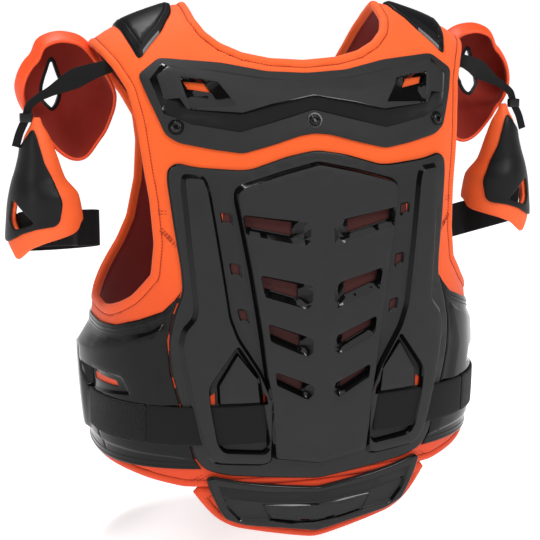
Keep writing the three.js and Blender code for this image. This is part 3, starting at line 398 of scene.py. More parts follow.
class Shader:
    """Node tree of one material, with a short way to add nodes and expressions."""

    def __init__(self, name: str) -> None:
        """Starts a material with only a Principled BSDF and its output."""
        self.material = bpy.data.materials.new(name)
        self.material.use_nodes = True
        self.tree = self.material.node_tree
        self.tree.nodes.clear()
        self.surface = self.node("ShaderNodeBsdfPrincipled", {}, {})
        output = self.node("ShaderNodeOutputMaterial", {}, {})
        self.tree.links.new(self.surface.outputs["BSDF"], output.inputs["Surface"])

    def node(self, kind: str, settings: dict, values: dict) -> bpy.types.Node:
        """Adds a node.

        Args:
            kind: type of the node.
            settings: properties, set first.
            values: sockets by name or number, each a value, a socket or a Value.

        Returns:
            The node.
        """
        node = self.tree.nodes.new(kind)
        for name, value in settings.items():
            setattr(node, name, value)
        for name, value in values.items():
            self.feed(node.inputs[name], value)
        return node

    def feed(self, socket: bpy.types.NodeSocket, value: object) -> None:
        """Gives a socket a value or a link."""
        if isinstance(value, Value):
            value = value.socket
        if isinstance(value, bpy.types.NodeSocket):
            self.tree.links.new(value, socket)
        else:
            socket.default_value = value

    def set(self, **values: object) -> None:
        """Sets sockets of the surface by name, with _ for each space."""
        for name, value in values.items():
            self.feed(self.surface.inputs[name.replace("_", " ")], value)

    def place(self, turn: tuple[float, float, float] = (0, 0, 0)) -> bpy.types.NodeSocket:
        """Object coordinates, turned."""
        coordinates = self.node("ShaderNodeTexCoord", {}, {})
        return self.node("ShaderNodeMapping", {}, {
            "Vector": coordinates.outputs["Object"], "Rotation": turn,
        }).outputs["Vector"]

    def noise(self, scale: float, detail: float = 2) -> "Value":
        """Noise from 0 to 1 in object space, scale in cells per metre."""
        node = self.node("ShaderNodeTexNoise", {}, {"Vector": self.place(), "Scale": scale, "Detail": detail})
        return Value(self, node.outputs["Fac"])

    def cells(self, scale: float) -> "Value":
        """Distance from the nearest cell's centre in object space."""
        node = self.node("ShaderNodeTexVoronoi", {}, {"Vector": self.place(), "Scale": scale})
        return Value(self, node.outputs["Distance"])

    def wave(self, scale: float, turn: tuple[float, float, float], distortion: float = 0) -> "Value":
        """Bands from 0 to 1 along a turned X axis."""
        node = self.node("ShaderNodeTexWave", {}, {
            "Vector": self.place(turn), "Scale": scale, "Distortion": distortion, "Detail": 1,
        })
        return Value(self, node.outputs["Fac"])

    def axis(self, name: str) -> "Value":
        """One object coordinate, in metres."""
        coordinates = self.node("ShaderNodeTexCoord", {}, {})
        split = self.node("ShaderNodeSeparateXYZ", {}, {"Vector": coordinates.outputs["Object"]})
        return Value(self, split.outputs[name])

    def mix(self, factor: "Value", low: tuple, high: tuple) -> bpy.types.NodeSocket:
        """Colour between two colours or sockets."""
        node = self.node("ShaderNodeMix", {"data_type": "RGBA"}, {})
        self.feed(node.inputs[0], factor)
        self.feed(node.inputs[6], low)
        self.feed(node.inputs[7], high)
        return node.outputs[2]

    def ridge(self, height: "Value", strength: float, distance: float) -> None:
        """Bump from a height, on the surface."""
        bump = self.node("ShaderNodeBump", {}, {
            "Height": height, "Strength": strength, "Distance": distance,
        })
        self.set(Normal=bump.outputs["Normal"])


class Value:
    """A number in a shader, on which expressions add Math nodes."""

    def __init__(self, shader: Shader, socket: bpy.types.NodeSocket) -> None:
        """Wraps a socket of a shader."""
        self.shader = shader
        self.socket = socket

    def math(self, operation: str, first: object, second: object = 0.0) -> "Value":
        """Adds one Math node."""
        node = self.shader.node("ShaderNodeMath", {"operation": operation}, {0: first, 1: second})
        return Value(self.shader, node.outputs[0])

    def __add__(self, other: object) -> "Value":
        """Sum."""
        return self.math("ADD", self, other)

    __radd__ = __add__

    def __sub__(self, other: object) -> "Value":
        """Difference."""
        return self.math("SUBTRACT", self, other)

    def __rsub__(self, other: object) -> "Value":
        """Difference from a number."""
        return self.math("SUBTRACT", other, self)

    def __mul__(self, other: object) -> "Value":
        """Product."""
        return self.math("MULTIPLY", self, other)

    __rmul__ = __mul__

    def between(self, low: float, high: float) -> "Value":
        """Smooth step between two numbers."""
        node = self.shader.node("ShaderNodeMapRange", {"interpolation_type": "SMOOTHSTEP"}, {
            "Value": self, "From Min": low, "From Max": high,
        })
        return Value(self.shader, node.outputs["Result"])


@dataclass(frozen=True)
class Finish:
    """Base of the finishes: what every material has."""

    name: str
    colour: tuple[float, float, float]

    def rgba(self, share: float = 1.0) -> tuple[float, float, float, float]:
        """The colour, darkened to a share."""
        return (*(channel * share for channel in self.colour), 1.0)

    def material(self) -> bpy.types.Material:
        """Builds the material once and returns it."""
        title = f"{self.name}_finish"
        known = bpy.data.materials.get(title)
        if known:
            return known
        shader = Shader(title)
        self.dress(shader)
        return shader.material

    def dress(self, shader: Shader) -> None:
        """Adds the nodes; each finish has its own."""
        raise NotImplementedError


@dataclass(frozen=True)
class VestFabric(Finish):
    """Foam laminated with knitted fabric: fine grain, soft mottling, and a painted shade that darkens it low down.
    """

    # Painted shade: the colour fades to this darker one below the two heights, in metres, that follow.
    low_colour: tuple[float, float, float] = (0.72, 0.055, 0.008)
    fade_from: float = -0.5
    fade_to: float = -0.1

    def dress(self, shader: Shader) -> None:
        """Two oranges by height, darker below as painted shade, mottled, with a knit in the bump."""
        height = shader.axis("Z").between(self.fade_from, self.fade_to)
        mottle = shader.noise(28, 3)
        factor = height * 0.8 + mottle * 0.25
        shader.set(
            Base_Color=shader.mix(factor, (*self.low_colour, 1), self.rgba()),
            Roughness=shader.noise(300) * 0.12 + 0.62,
            Sheen_Weight=0.12, Sheen_Roughness=0.5, Specular_IOR_Level=0.3,
        )
        knit = shader.noise(1500, 2) * 0.6 + shader.noise(60, 3) * 0.8
        shader.ridge(knit, 0.22, 0.0006)


@dataclass(frozen=True)
class MouldedPlastic(Finish):
    """Moulded plastic: a fine grain, and a gloss that varies a little."""

    roughness: float = 0.5
    grain: float = 900.0
    relief: float = 0.3
    specular: float = 0.5
    ior: float = 1.45

    def dress(self, shader: Shader) -> None:
        """A faint mottle in the colour and a spark-eroded grain in the bump."""
        mottle = shader.noise(45, 4)
        shader.set(
            Base_Color=shader.mix(mottle, self.rgba(0.86), self.rgba(1.14)),
            Roughness=shader.noise(120, 3) * 0.12 + (self.roughness - 0.06),
            Specular_IOR_Level=self.specular,
            IOR=self.ior,
        )
        shader.ridge(shader.noise(self.grain, 2) * 0.7 + shader.cells(self.grain * 0.8) * 0.3,
                     self.relief, 0.0003)


@dataclass(frozen=True)
class StudioFloor(Finish):
    """Even white floor that glows a little, so that it stays white far away."""

    glow: float = 0.62

    def dress(self, shader: Shader) -> None:
        """Plain diffuse white with a faint glow."""
        shader.set(Base_Color=self.rgba(), Roughness=1.0, Specular_IOR_Level=0.0,
                   Emission_Color=(1, 1, 1, 1), Emission_Strength=self.glow)


@dataclass(frozen=True)
class Webbing(Finish):
    """Woven tape or hook-and-loop pile."""

    pile: bool = False

    def dress(self, shader: Shader) -> None:
        """Ribs across the tape, or a fuzzy pile."""
        if self.pile:
            fuzz = shader.noise(900, 4)
            shader.set(Base_Color=shader.mix(fuzz.between(0.35, 0.75), self.rgba(0.5), self.rgba(2.6)),
                       Roughness=0.95, Sheen_Weight=0.12, Sheen_Roughness=0.4, Specular_IOR_Level=0.2)
            shader.ridge(fuzz, 0.9, 0.0012)
            return
        weave = shader.wave(330, (0, 0, 0)) * 0.5 + shader.wave(330, (0, math.pi / 2, 0)) * 0.5
        shader.set(Base_Color=shader.mix(weave, self.rgba(0.6), self.rgba(1.4)), Roughness=0.85,
                   Sheen_Weight=0.06, Sheen_Roughness=0.4, Specular_IOR_Level=0.2)
        shader.ridge(weave + shader.noise(700) * 0.4, 0.5, 0.0004)


@dataclass(frozen=True)
class KnitLining(Finish):
    """Ribbed knit inside the shoulder cups, with fine slanted lines, in a colour darkened as painted shade of the
    hollow.
    """

    def dress(self, shader: Shader) -> None:
        """Slanted ribs and a soft mottle."""
        ribs = shader.wave(210, (0, 0.65, 0.2), 0.4)
        mottle = shader.noise(30, 3)
        shader.set(
            Base_Color=shader.mix(ribs * 0.35 + mottle * 0.5, self.rgba(0.72), self.rgba(1.08)),
            Roughness=0.72, Sheen_Weight=0.1, Sheen_Roughness=0.5, Specular_IOR_Level=0.3,
        )
        shader.ridge(ribs * 0.5 + shader.noise(800) * 0.3, 0.3, 0.0005)


# Painted shade: the second colour of each vest fabric is its darker shade low down.
VEST_ORANGE = VestFabric("vest_orange", (0.84, 0.106, 0.010), (0.58, 0.036, 0.006))
# Painted shade: a darker copy of the orange fabric for the inside of the vest, which lies in shadow.
VEST_INSIDE_SHADE = VestFabric("vest_lining", (0.2, 0.006, 0.0016), (0.15, 0.004, 0.0016))
# Painted shade: near-black fabric that stands for the shadow seen through the plate's vents and in the gap beside
# the wings.
VENT_SHADE = VestFabric("vent_mesh", (0.05, 0.004, 0.002), (0.03, 0.003, 0.002))
STITCH_RED = VestFabric("stitch_red", (0.26, 0.012, 0.004), (0.2, 0.01, 0.004))
CUP_ORANGE = MouldedPlastic("cup_orange", (0.84, 0.075, 0.012), 0.5, 500, 0.12)
PAD_ORANGE = MouldedPlastic("pad_orange", (0.86, 0.11, 0.018), 0.6, 500, 0.12)
# Painted shade: the knit inside the cups is a much darker red than the cup, for the shade in its hollow.
CUP_KNIT_SHADE = KnitLining("cup_knit", (0.28, 0.013, 0.003))
PLATE_MATTE = MouldedPlastic("plate_matte", (0.0185, 0.0185, 0.0192), 0.56, 1100, 0.5, specular=0.22)
PLATE_GLOSS = MouldedPlastic("plate_gloss", (0.0022, 0.002, 0.002), 0.1, 300, 0.02, specular=0.5, ior=1.3)
WING_GLOSS = MouldedPlastic("wing_gloss", (0.0024, 0.0022, 0.0022), 0.12, 260, 0.03, specular=0.5, ior=1.28)
FACE_MATTE = MouldedPlastic("face_matte", (0.007, 0.007, 0.0075), 0.42, 700, 0.12, specular=0.2)
RUBBER = MouldedPlastic("shoulder_rubber", (0.004, 0.004, 0.005), 0.4, 350, 0.08, specular=0.2)
EDGE_GREY = MouldedPlastic("edge_grey", (0.12, 0.12, 0.125), 0.4, 500, 0.1)
BOLT_BLACK = MouldedPlastic("bolt_black", (0.004, 0.004, 0.004), 0.22, 300, 0.03, specular=0.35)
TAPE = Webbing("black_tape", (0.006, 0.006, 0.0065))
PILE = Webbing("loop_pile", (0.007, 0.007, 0.007), True)
FLOOR = StudioFloor("studio_floor", (0.9, 0.9, 0.9))


def linked(name: str, data: bpy.types.ID) -> bpy.types.Object:
    """Object of some data, put in the scene."""
    thing = bpy.data.objects.new(name, data)
    bpy.context.scene.collection.objects.link(thing)
    return thing


def make_piece(name: str, points: np.ndarray, faces: list, finishes: list[Finish],
               slots: list[int] | None = None, sharp: float = 42) -> bpy.types.Object:
    """Makes a smooth-shaded object of a mesh.

    Args:
        name: name of the piece.
        points: vertices in millimetres.
        faces: vertex numbers of each face.
        finishes: one finish per material slot.
        slots: material slot of each face.
        sharp: angle in degrees past which an edge stays sharp.

    Returns:
        The object, at the origin, with its faces turned outward.
    """
    mesh = bpy.data.meshes.new(name)
    mesh.from_pydata((np.asarray(points) * MM).tolist(), [], [list(face) for face in faces])
    for finish in finishes:
        mesh.materials.append(finish.material())
    if slots is not None:
        mesh.polygons.foreach_set("material_index", np.array(slots, np.int32))
    mesh.validate()
    work = bmesh.new()
    work.from_mesh(mesh)
    loose = [vertex for vertex in work.verts if not vertex.link_faces]
    bmesh.ops.delete(work, geom=loose, context="VERTS")
    bmesh.ops.recalc_face_normals(work, faces=work.faces)
    work.to_mesh(mesh)
    work.free()
    mesh.polygons.foreach_set("use_smooth", np.ones(len(mesh.polygons), bool))
    mesh.set_sharp_from_angle(angle=math.radians(sharp))
    return linked(name, mesh)


def settle(piece: bpy.types.Object, slot: str, *nodes: str) -> bpy.types.Object:
    """Ties a piece to the part's body and hides the solids that it stands for."""
    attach(piece, "root")
    if nodes:
        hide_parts(*nodes)
    LOG.info("%s: %d faces", piece.name, len(piece.data.polygons))
    return piece


def sided(side: Side, title: str, points: np.ndarray, faces: list, finishes: list[Finish], slot: str,
          node: str, slots: list[int] | None = None, sharp: float = 42) -> bpy.types.Object:
    """Makes one side's piece from the right side's mesh, and settles it.

    Args:
        side: the side.
        title, node: names of the piece and of its solid, without the side.
        points, faces, finishes, slots, sharp: as for make_piece.
        slot: material slot of the part; not used.

    Returns:
        The object.
    """
    piece = make_piece(f"{title}_{side.label}", points * side.turn, faces, finishes, slots, sharp)
    return settle(piece, slot, f"{node}_{side.label}")


class Skin:
    """Open surface with fields on its vertices, which can be cut along any level of a field."""

    def __init__(self, points: np.ndarray, normals: np.ndarray, faces: list,
                 fields: dict[str, np.ndarray]) -> None:
        """Starts from a grid.

        Args:
            points, normals: one row per vertex.
            faces: vertex numbers of each face.
            fields: value of each field at each vertex.
        """
        self.columns = {name: 6 + k for k, name in enumerate(fields)}
        table = np.column_stack([points, normals, *fields.values()])
        self.rows = list(table)
        self.faces = [list(face) for face in faces]

    def cut(self, name: str, *levels: float) -> None:
        """Adds edges where a field has each of some levels."""
        column = self.columns[name]
        for level in levels:
            cuts: dict[tuple[int, int], int] = {}
            state = [0 if abs(row[column] - level) < 2e-3 else (1 if row[column] > level else -1)
                     for row in self.rows]
            result = []
            for face in self.faces:
                signs = [state[i] for i in face]
                if min(signs) >= 0 or max(signs) <= 0:
                    result.append(face)
                    continue
                loop, marks = [], []
                for k, i in enumerate(face):
                    j = face[(k + 1) % len(face)]
                    loop.append(i)
                    if signs[k] == 0:
                        marks.append(len(loop) - 1)
                    if signs[k] * signs[(k + 1) % len(face)] < 0:
                        key = (min(i, j), max(i, j))
                        if key not in cuts:
                            low, high = self.rows[key[0]], self.rows[key[1]]
                            row = low + (high - low) * (level - low[column]) / (high[column] - low[column])
                            row[column] = level
                            cuts[key] = len(self.rows)
                            self.rows.append(row)
                        loop.append(cuts[key])
                        marks.append(len(loop) - 1)
                first = loop[marks[0]:marks[1] + 1] if len(marks) == 2 else []
                second = loop[marks[1]:] + loop[:marks[0] + 1] if len(marks) == 2 else []
                if len(first) > 2 and len(second) > 2:
                    result += [first, second]
                else:
                    result.append(loop)
            self.faces = result

    def values(self, name: str) -> np.ndarray:
        """One field at every vertex."""
        return np.array(self.rows)[:, self.columns[name]]

    def keep(self, name: str, level: float = 0.0) -> None:
        """Cuts along a level and drops what lies below it."""
        self.cut(name, level)
        column = self.columns[name]
        self.faces = [face for face in self.faces
                      if sum(self.rows[i][column] for i in face) / len(face) > level]

    def points(self, offset: np.ndarray | float) -> np.ndarray:
        """Vertices, moved out by an offset."""
        table = np.array(self.rows)
        return table[:, :3] + unit(table[:, 3:6]) * np.broadcast_to(np.asarray(offset), len(table))[:, None]

    def thick(self, outer: np.ndarray, inner: np.ndarray) -> tuple[np.ndarray, list, list[int]]:
        """Closed shell between two offsets.

        Args:
            outer, inner: offset of every vertex. Where both are the same on the border, the sides weld.

        Returns:
            Points, faces, and for each face 0 outside, 1 inside or 2 on an edge.
        """
        count = len(self.rows)
        border = open_edges(self.faces)
        welded = {i for edge in border for i in edge if abs(outer[i] - inner[i]) < 1e-3}
        under = {i: (i if i in welded else i + count) for i in range(count)}
        faces = [list(face) for face in self.faces]
        sides = [0] * len(faces)
        for face in self.faces:
            faces.append([under[i] for i in reversed(face)])
            sides.append(1)
        for i, j in border:
            loop = list(dict.fromkeys([j, i, under[i], under[j]]))
            if len(loop) > 2:
                faces.append(loop)
                sides.append(2)
        return np.vstack([self.points(outer), self.points(inner)]), faces, sides

    def contour(self, name: str, level: float, offset: np.ndarray) -> list[np.ndarray]:
        """Lines along a level that was cut, at an offset."""
        column = self.columns[name]
        on = {i for i, row in enumerate(self.rows) if abs(row[column] - level) < 2e-3}
        links: dict[int, set[int]] = {}
        for face in self.faces:
            for i, j in zip(face, face[1:] + face[:1]):
                if i in on and j in on:
                    links.setdefault(i, set()).add(j)
                    links.setdefault(j, set()).add(i)
        places = self.points(offset)
        lines = []
        while links:
            start = min(links, key=lambda i: (len(links[i]) != 1, i))
            line = [start]
            while links.get(line[-1]):
                here = line[-1]
                ahead = links[here].pop()
                links[ahead].discard(here)
                if not links[here]:
                    del links[here]
                line.append(ahead)
            links.pop(line[-1], None)
            if len(line) > 2:
                lines.append(places[line])
        return lines


class Kind(Enum):
    """What a form does to a relief."""

    RAISE = "raise"
    BLEND = "blend"
    HOLE = "hole"


@dataclass
class Form:
    """Raised or sunk area of a relief, with a wall between its outline and its flat."""

    kind: Kind
    outline: np.ndarray
    level: float | Callable[[np.ndarray], np.ndarray]
    width: float = 3.5
    inner: np.ndarray | None = None
    base: float = 3.2

    def share(self, places: np.ndarray) -> np.ndarray:
        """How far up the wall each place is, 0 at the outline and 1 on the flat."""
        outer = inside_distance(places, self.outline)
        if self.inner is None:
            return np.clip(outer / self.width, 0, 1)
        within = inside_distance(places, self.inner)
        share = np.where(within >= 0, 1, outer / np.maximum(outer - within, 1e-6))
        return np.where(outer <= 0, 0, np.clip(share, 0, 1))

    def applied(self, places: np.ndarray, heights: np.ndarray) -> np.ndarray:
        """Heights after this form."""
        rise = np.interp(self.share(places), (0, 0.08, 0.86, 1), (0, 0.03, 0.94, 1))
        level = self.level(places) if callable(self.level) else self.level
        if self.kind is Kind.RAISE:
            return np.maximum(heights, self.base + (level - self.base) * rise)
        return heights + (level - heights) * rise

    def contours(self) -> list[np.ndarray]:
        """Outlines that the mesh has to follow."""
        shares = (0.0, 0.08, 0.86, 1.0)
        if self.inner is None:
            return [grown(self.outline, -self.width * share) for share in shares]
        if len(self.inner) == len(self.outline):
            return [self.outline + (self.inner - self.outline) * share for share in shares]
        return [self.outline, self.inner]


@dataclass
class Relief:
    """Solid plate over a plane outline, with raised and sunk forms, laid on a surface."""

    outline: np.ndarray
    base: float
    under: float
    forms: list[Form]
    place: Callable[[np.ndarray, np.ndarray, np.ndarray], np.ndarray]
    grid: float = 6.0
    edge: float = 1.2
    grooves: list[tuple[np.ndarray, float, float]] = field(default_factory=list)
    steep: float = 0.5
    zones: list[np.ndarray] = field(default_factory=list)

    def heights(self, places: np.ndarray) -> np.ndarray:
        """Height of the top over each place."""
        heights = np.full(len(places), self.base)
        for form in self.forms:
            heights = form.applied(places, heights)
        for path, width, depth in self.grooves:
            heights = heights - depth * (1 - smooth(path_distance(places, path, False) / width))
        edge = np.clip(inside_distance(places, self.outline) / self.edge, 0, 1)
        return np.maximum(heights - 0.75 * self.edge * (1 - edge) ** 2, self.under + 0.3)

    def plan(self) -> tuple[np.ndarray, list]:
        """Triangles of the plane outline, with an edge along every form."""
        chains = [(densified(grown(self.outline, -self.edge * share), 4), True) for share in (0, 0.3, 1)]
        for form in self.forms:
            chains += [(densified(line, 4), True) for line in form.contours()]
        for path, width, _ in self.grooves:
            line = densified(path, 4, False)
            side = sideways(line) * width
            chains += [(line, False), (line + side, False), (line - side, False)]
        points, edges = [], []
        for line, closed in chains:
            start = len(points)
            points.extend(line.tolist())
            edges += [(start + k, start + k + 1) for k in range(len(line) - 1)]
            if closed:
                edges.append((start + len(line) - 1, start))
        fixed = np.array(points)
        low, high = self.outline.min(axis=0), self.outline.max(axis=0)
        across, down = np.meshgrid(np.arange(low[0], high[0], self.grid), np.arange(low[1], high[1], self.grid))
        spots = np.column_stack([across.ravel(), down.ravel()])
        spots = spots[inside_distance(spots, self.outline) > self.edge + 1]
        clear = np.array([np.min(np.abs(fixed - spot).max(axis=1)) for spot in spots]) > 0.42 * self.grid
        points.extend(spots[clear].tolist())
        result = delaunay_2d_cdt([Vector(point) for point in points], edges, [], 0, 0.02, False)
        flat = np.array([tuple(point) for point in result[0]])
        faces = [tuple(face) for face in result[2]]
        middle = np.array([flat[list(face)].mean(axis=0) for face in faces])
        wanted = inside_distance(middle, self.outline) > 0
        for form in self.forms:
            if form.kind is Kind.HOLE:
                wanted &= form.share(middle) < 1
        return flat, [face for face, use in zip(faces, wanted) if use]

    def steepness(self, flat: np.ndarray, heights: np.ndarray, faces: list) -> np.ndarray:
        """Slope of each face of the top."""
        corners = np.array([face[:3] for face in faces])
        a, b, c = (np.column_stack([flat, heights])[corners[:, k]] for k in range(3))
        normals = np.cross(b - a, c - a)
        return np.linalg.norm(normals[:, :2], axis=1) / np.maximum(np.abs(normals[:, 2]), 1e-9)

    def solid(self) -> tuple[np.ndarray, list, list[int]]:
        """The plate's mesh.

        Returns:
            Points, faces and the slot of each face: 0 matte, 1 glossy wall.
        """
        flat, top = self.plan()
        heights = self.heights(flat)
        upper = self.place(flat[:, 0], flat[:, 1], heights)
        lower = self.place(flat[:, 0], flat[:, 1], np.full(len(flat), self.under))
        glossy = self.steepness(flat, heights, top) > self.steep
        middle = np.array([flat[list(face)].mean(axis=0) for face in top])
        for zone in self.zones:
            glossy |= inside_distance(middle, zone) > 0
        count = len(flat)
        faces = [list(face) for face in top]
        slots = glossy.astype(int).tolist()
        faces += [[i + count for i in reversed(face)] for face in top]
        faces += [[j, i, i + count, j + count] for i, j in open_edges(top)]
        slots += [0] * (len(faces) - len(slots))
        return np.vstack([upper, lower]), faces, slots


def other_side(points: np.ndarray) -> np.ndarray:
    """Points mirrored to the other side of the body."""
    return points * np.array([-1, 1, 1])


def run_tree(name: str, mesh: bpy.types.Mesh, tree: bpy.types.NodeTree,
             inputs: dict[str, float]) -> bpy.types.Object:
    """Runs a node tree on a mesh and keeps the plain result.

    Args:
        name: name of the piece.
        mesh: what the tree starts from.
        tree: the node tree.
        inputs: value of each input, by the socket's identifier.

    Returns:
        The object, without its modifier.
    """
    piece = linked(name, mesh)
    modifier = piece.modifiers.new("pattern", "NODES")
    modifier.node_group = tree
    for identifier, value in inputs.items():
        modifier[identifier] = value
    evaluated = piece.evaluated_get(bpy.context.evaluated_depsgraph_get())
    result = bpy.data.meshes.new_from_object(evaluated)
    piece.modifiers.clear()
    piece.data = result
    return piece


class StitchTree:
    """Geometry Nodes that sew short stitches along the edges of a mesh."""

    def __init__(self, finish: Finish) -> None:
        """Builds the tree, with the stitches' sizes as its inputs."""
        tree = bpy.data.node_groups.new("stitches_along_seams", "GeometryNodeTree")
        self.tree = tree
        face = tree.interface
        face.new_socket("Seams", in_out="INPUT", socket_type="NodeSocketGeometry")
        self.pitch, self.length, self.radius = (
            face.new_socket(name, in_out="INPUT", socket_type="NodeSocketFloat").identifier
            for name in ("Pitch", "Length", "Radius")
        )
        face.new_socket("Stitches", in_out="OUTPUT", socket_type="NodeSocketGeometry")
        nodes, links = tree.nodes, tree.links
        given = nodes.new("NodeGroupInput")
        curve = nodes.new("GeometryNodeMeshToCurve")
        points = nodes.new("GeometryNodeCurveToPoints")
        points.mode = "LENGTH"
        thread = nodes.new("GeometryNodeMeshCylinder")
        thread.inputs["Vertices"].default_value = 5
        instances = nodes.new("GeometryNodeInstanceOnPoints")
        realize = nodes.new("GeometryNodeRealizeInstances")
        dress = nodes.new("GeometryNodeSetMaterial")
        dress.inputs["Material"].default_value = finish.material()
        result = nodes.new("NodeGroupOutput")
        links.new(given.outputs["Seams"], curve.inputs["Mesh"])
        links.new(curve.outputs["Curve"], points.inputs["Curve"])
        links.new(given.outputs["Pitch"], points.inputs["Length"])
        links.new(given.outputs["Radius"], thread.inputs["Radius"])
        links.new(given.outputs["Length"], thread.inputs["Depth"])
        links.new(points.outputs["Points"], instances.inputs["Points"])
        links.new(points.outputs["Rotation"], instances.inputs["Rotation"])
        links.new(thread.outputs["Mesh"], instances.inputs["Instance"])
        links.new(instances.outputs["Instances"], realize.inputs["Geometry"])
        links.new(realize.outputs["Geometry"], dress.inputs["Geometry"])
        links.new(dress.outputs["Geometry"], result.inputs["Stitches"])

    def sew(self, name: str, lines: list[np.ndarray], pitch: float, length: float,
            radius: float) -> bpy.types.Object:
        """Sews stitches along lines.

        Args:
            name: name of the piece.
            lines: rows of points in millimetres.
            pitch, length, radius: sizes of the stitches in millimetres.

        Returns:
            A plain mesh object.
        """
        points, edges = [], []
        for line in lines:
            start = len(points)
            points.extend((line * MM).tolist())
            edges += [(start + k, start + k + 1) for k in range(len(line) - 1)]
        seams = bpy.data.meshes.new(f"{name}_seams")
        seams.from_pydata(points, edges, [])
        sizes = {self.pitch: pitch * MM, self.length: length * MM, self.radius: radius * MM}
        return run_tree(name, seams, self.tree, sizes)


@dataclass
class Vest:
    """Foam vest and tail pad, covered in orange fabric, with a stitched channel inside every edge."""

    wall: float = 9.0
    rim: float = 4.5
    channel: float = 8.5
    channel_width: float = 1.7
    channel_depth: float = 1.7
    columns: int = 42
    rows: int = 112
    seams: list[Pairs] = field(default_factory=lambda: [
        [(121, -112), (119.5, -122), (118, -137)],
        [(156, -181), (140, -181)],
        [(154, -198), (140, -214)],
        [(128, -457), (114, -448)],
    ])
    chevrons: Pairs = field(default_factory=lambda: [(153 - 2.2 * k, -201 - 2.7 * k) for k in range(6)])

    def grid(self) -> tuple[np.ndarray, np.ndarray, list]:
        """Points and directions of the body on a grid of even columns, and its quads."""
        turns = np.linspace(0, math.pi, 721)
        runs = np.linspace(0.012, 0.93, self.rows)
        table = []
        for run in runs:
            section = TORSO.on_section(turns, np.full(len(turns), run))
            lengths = lengths_along(section)
            middle = lengths[360]
            spots = np.concatenate([
                np.linspace(0, middle, self.columns, endpoint=False),
                np.linspace(middle, lengths[-1], self.columns + 1),
            ])
            turn = np.interp(spots, lengths, turns)
            turn = np.concatenate([turn, 2 * math.pi - turn[-2:0:-1]])
            table.append(TORSO.on_section(turn, np.full(len(turn), run)))
        width = len(table[0])
        points = np.vstack(table)
        normals = TORSO.normals(points, np.repeat(runs, width))
        return points, normals, quads(self.rows, width)

    def profile(self, distance: np.ndarray) -> np.ndarray:
        """Half thickness near an edge, from 0 on it to the full wall."""
        share = np.clip(distance / self.rim, 0, 1)
        return self.wall / 2 * np.sqrt(np.clip(1 - (1 - share) ** 2, 0, 1))

    def dented(self, skin: Skin) -> tuple[np.ndarray, np.ndarray]:
        """Offsets of the outer and inner faces, with the channel and the seams pressed in."""
        rim = skin.values("rim")
        half = self.profile(rim)
        channel = self.channel_depth * (1 - smooth(np.abs(rim - self.channel) / self.channel_width))
        swell = 0.9 * smooth((rim - self.channel - 2) / 12) - 0.9
        seam = 1.3 * (1 - smooth(skin.values("seam") / 2.2))
        outer = half - self.wall / 2 - channel - seam + np.where(rim > self.channel, swell, 0)
        inner = -half - self.wall / 2 + 0.6 * channel
        return outer, inner

    def seam_distance(self, points: np.ndarray) -> np.ndarray:
        """Distance from the nearest seam on the back."""
        flat = np.column_stack([np.abs(points[:, 0]), points[:, 2]])
        best = np.full(len(points), 99.0)
        for seam in self.seams:
            best = np.minimum(best, path_distance(flat, np.array(seam, float), False))
        return np.where(points[:, 1] < -20, best, 99.0)

    def skin(self, rim: np.ndarray, points: np.ndarray, normals: np.ndarray, faces: list) -> Skin:
        """Cuts the body's grid along the edge, the channel and the seams."""
        near = [face for face in faces if max(rim[i] for i in face) > 0]
        skin = Skin(points, normals, near, {"rim": rim, "seam": self.seam_distance(points)})
        skin.keep("rim")
        low, high = self.channel - self.channel_width, self.channel + self.channel_width
        skin.cut("rim", 0.25, 0.9, 2.1, self.rim, low, self.channel, high, 14)
        skin.cut("seam", 0.6, 2.2)
        return skin

    def build(self, stitches: StitchTree) -> None:
        """Builds the vest, the tail pad and their stitches."""
        points, normals, faces = self.grid()
        flat = points[:, [0, 2]]
        back = inside_distance(flat, vest_outline(BACK_NECK, BACK_ARMHOLE, BACK_HEM))
        front = inside_distance(flat, vest_outline(FRONT_NECK, FRONT_ARMHOLE, FRONT_HEM))
        share = smooth((points[:, 1] + 30) / 60)
        skin = self.skin(back * (1 - share) + front * share, points, normals, faces)
        outer, inner = self.dented(skin)
        shell, loops, _ = skin.thick(outer, inner)
        # Painted shade under the vents and beside the wings takes slot 1.
        shade_zone = self.under_plate(skin.points(0))
        # Painted shade: inner faces past the channel take the darker inside colour.
        shade_inside = skin.values("rim") > self.channel - self.channel_width - 0.01
        slots = [
            1 if min(shade_zone[i % len(shade_zone)] for i in loop) else
            2 * int(min(i >= len(shade_inside) and shade_inside[i - len(shade_inside)] for i in loop))
            for loop in loops
        ]
        vest = make_piece("vest_shell", shell, loops, [VEST_ORANGE, VENT_SHADE, VEST_INSIDE_SHADE], slots, 60)
        settle(vest, "vest_fabric", "back_pad", "front_pad", "shoulder_strap_left", "shoulder_strap_right",
               "waist_panel_left", "waist_panel_right")
        lines = skin.contour("rim", self.channel, outer + 0.35)
        tail_outline = mirrored(half_sized(TAIL_PAD, 260, 66, -464.3))
        rim = np.where(points[:, 1] < 0, inside_distance(flat, rounded(tail_outline, 12)), -99)
        tail = self.skin(rim, points, normals, faces)
        outer, inner = self.dented(tail)
        shell, loops, _ = tail.thick(outer, inner)
        pad = make_piece("tail_cushion", shell, loops, [VEST_ORANGE], sharp=60)
        settle(pad, "vest_fabric", "tail_pad")
        lines += tail.contour("rim", self.channel, outer + 0.35)
        lines += self.chevron_lines() + self.seam_lines()
        settle(stitches.sew("vest_stitches", lines, 3.2, 2.2, 0.42), "vest_fabric")

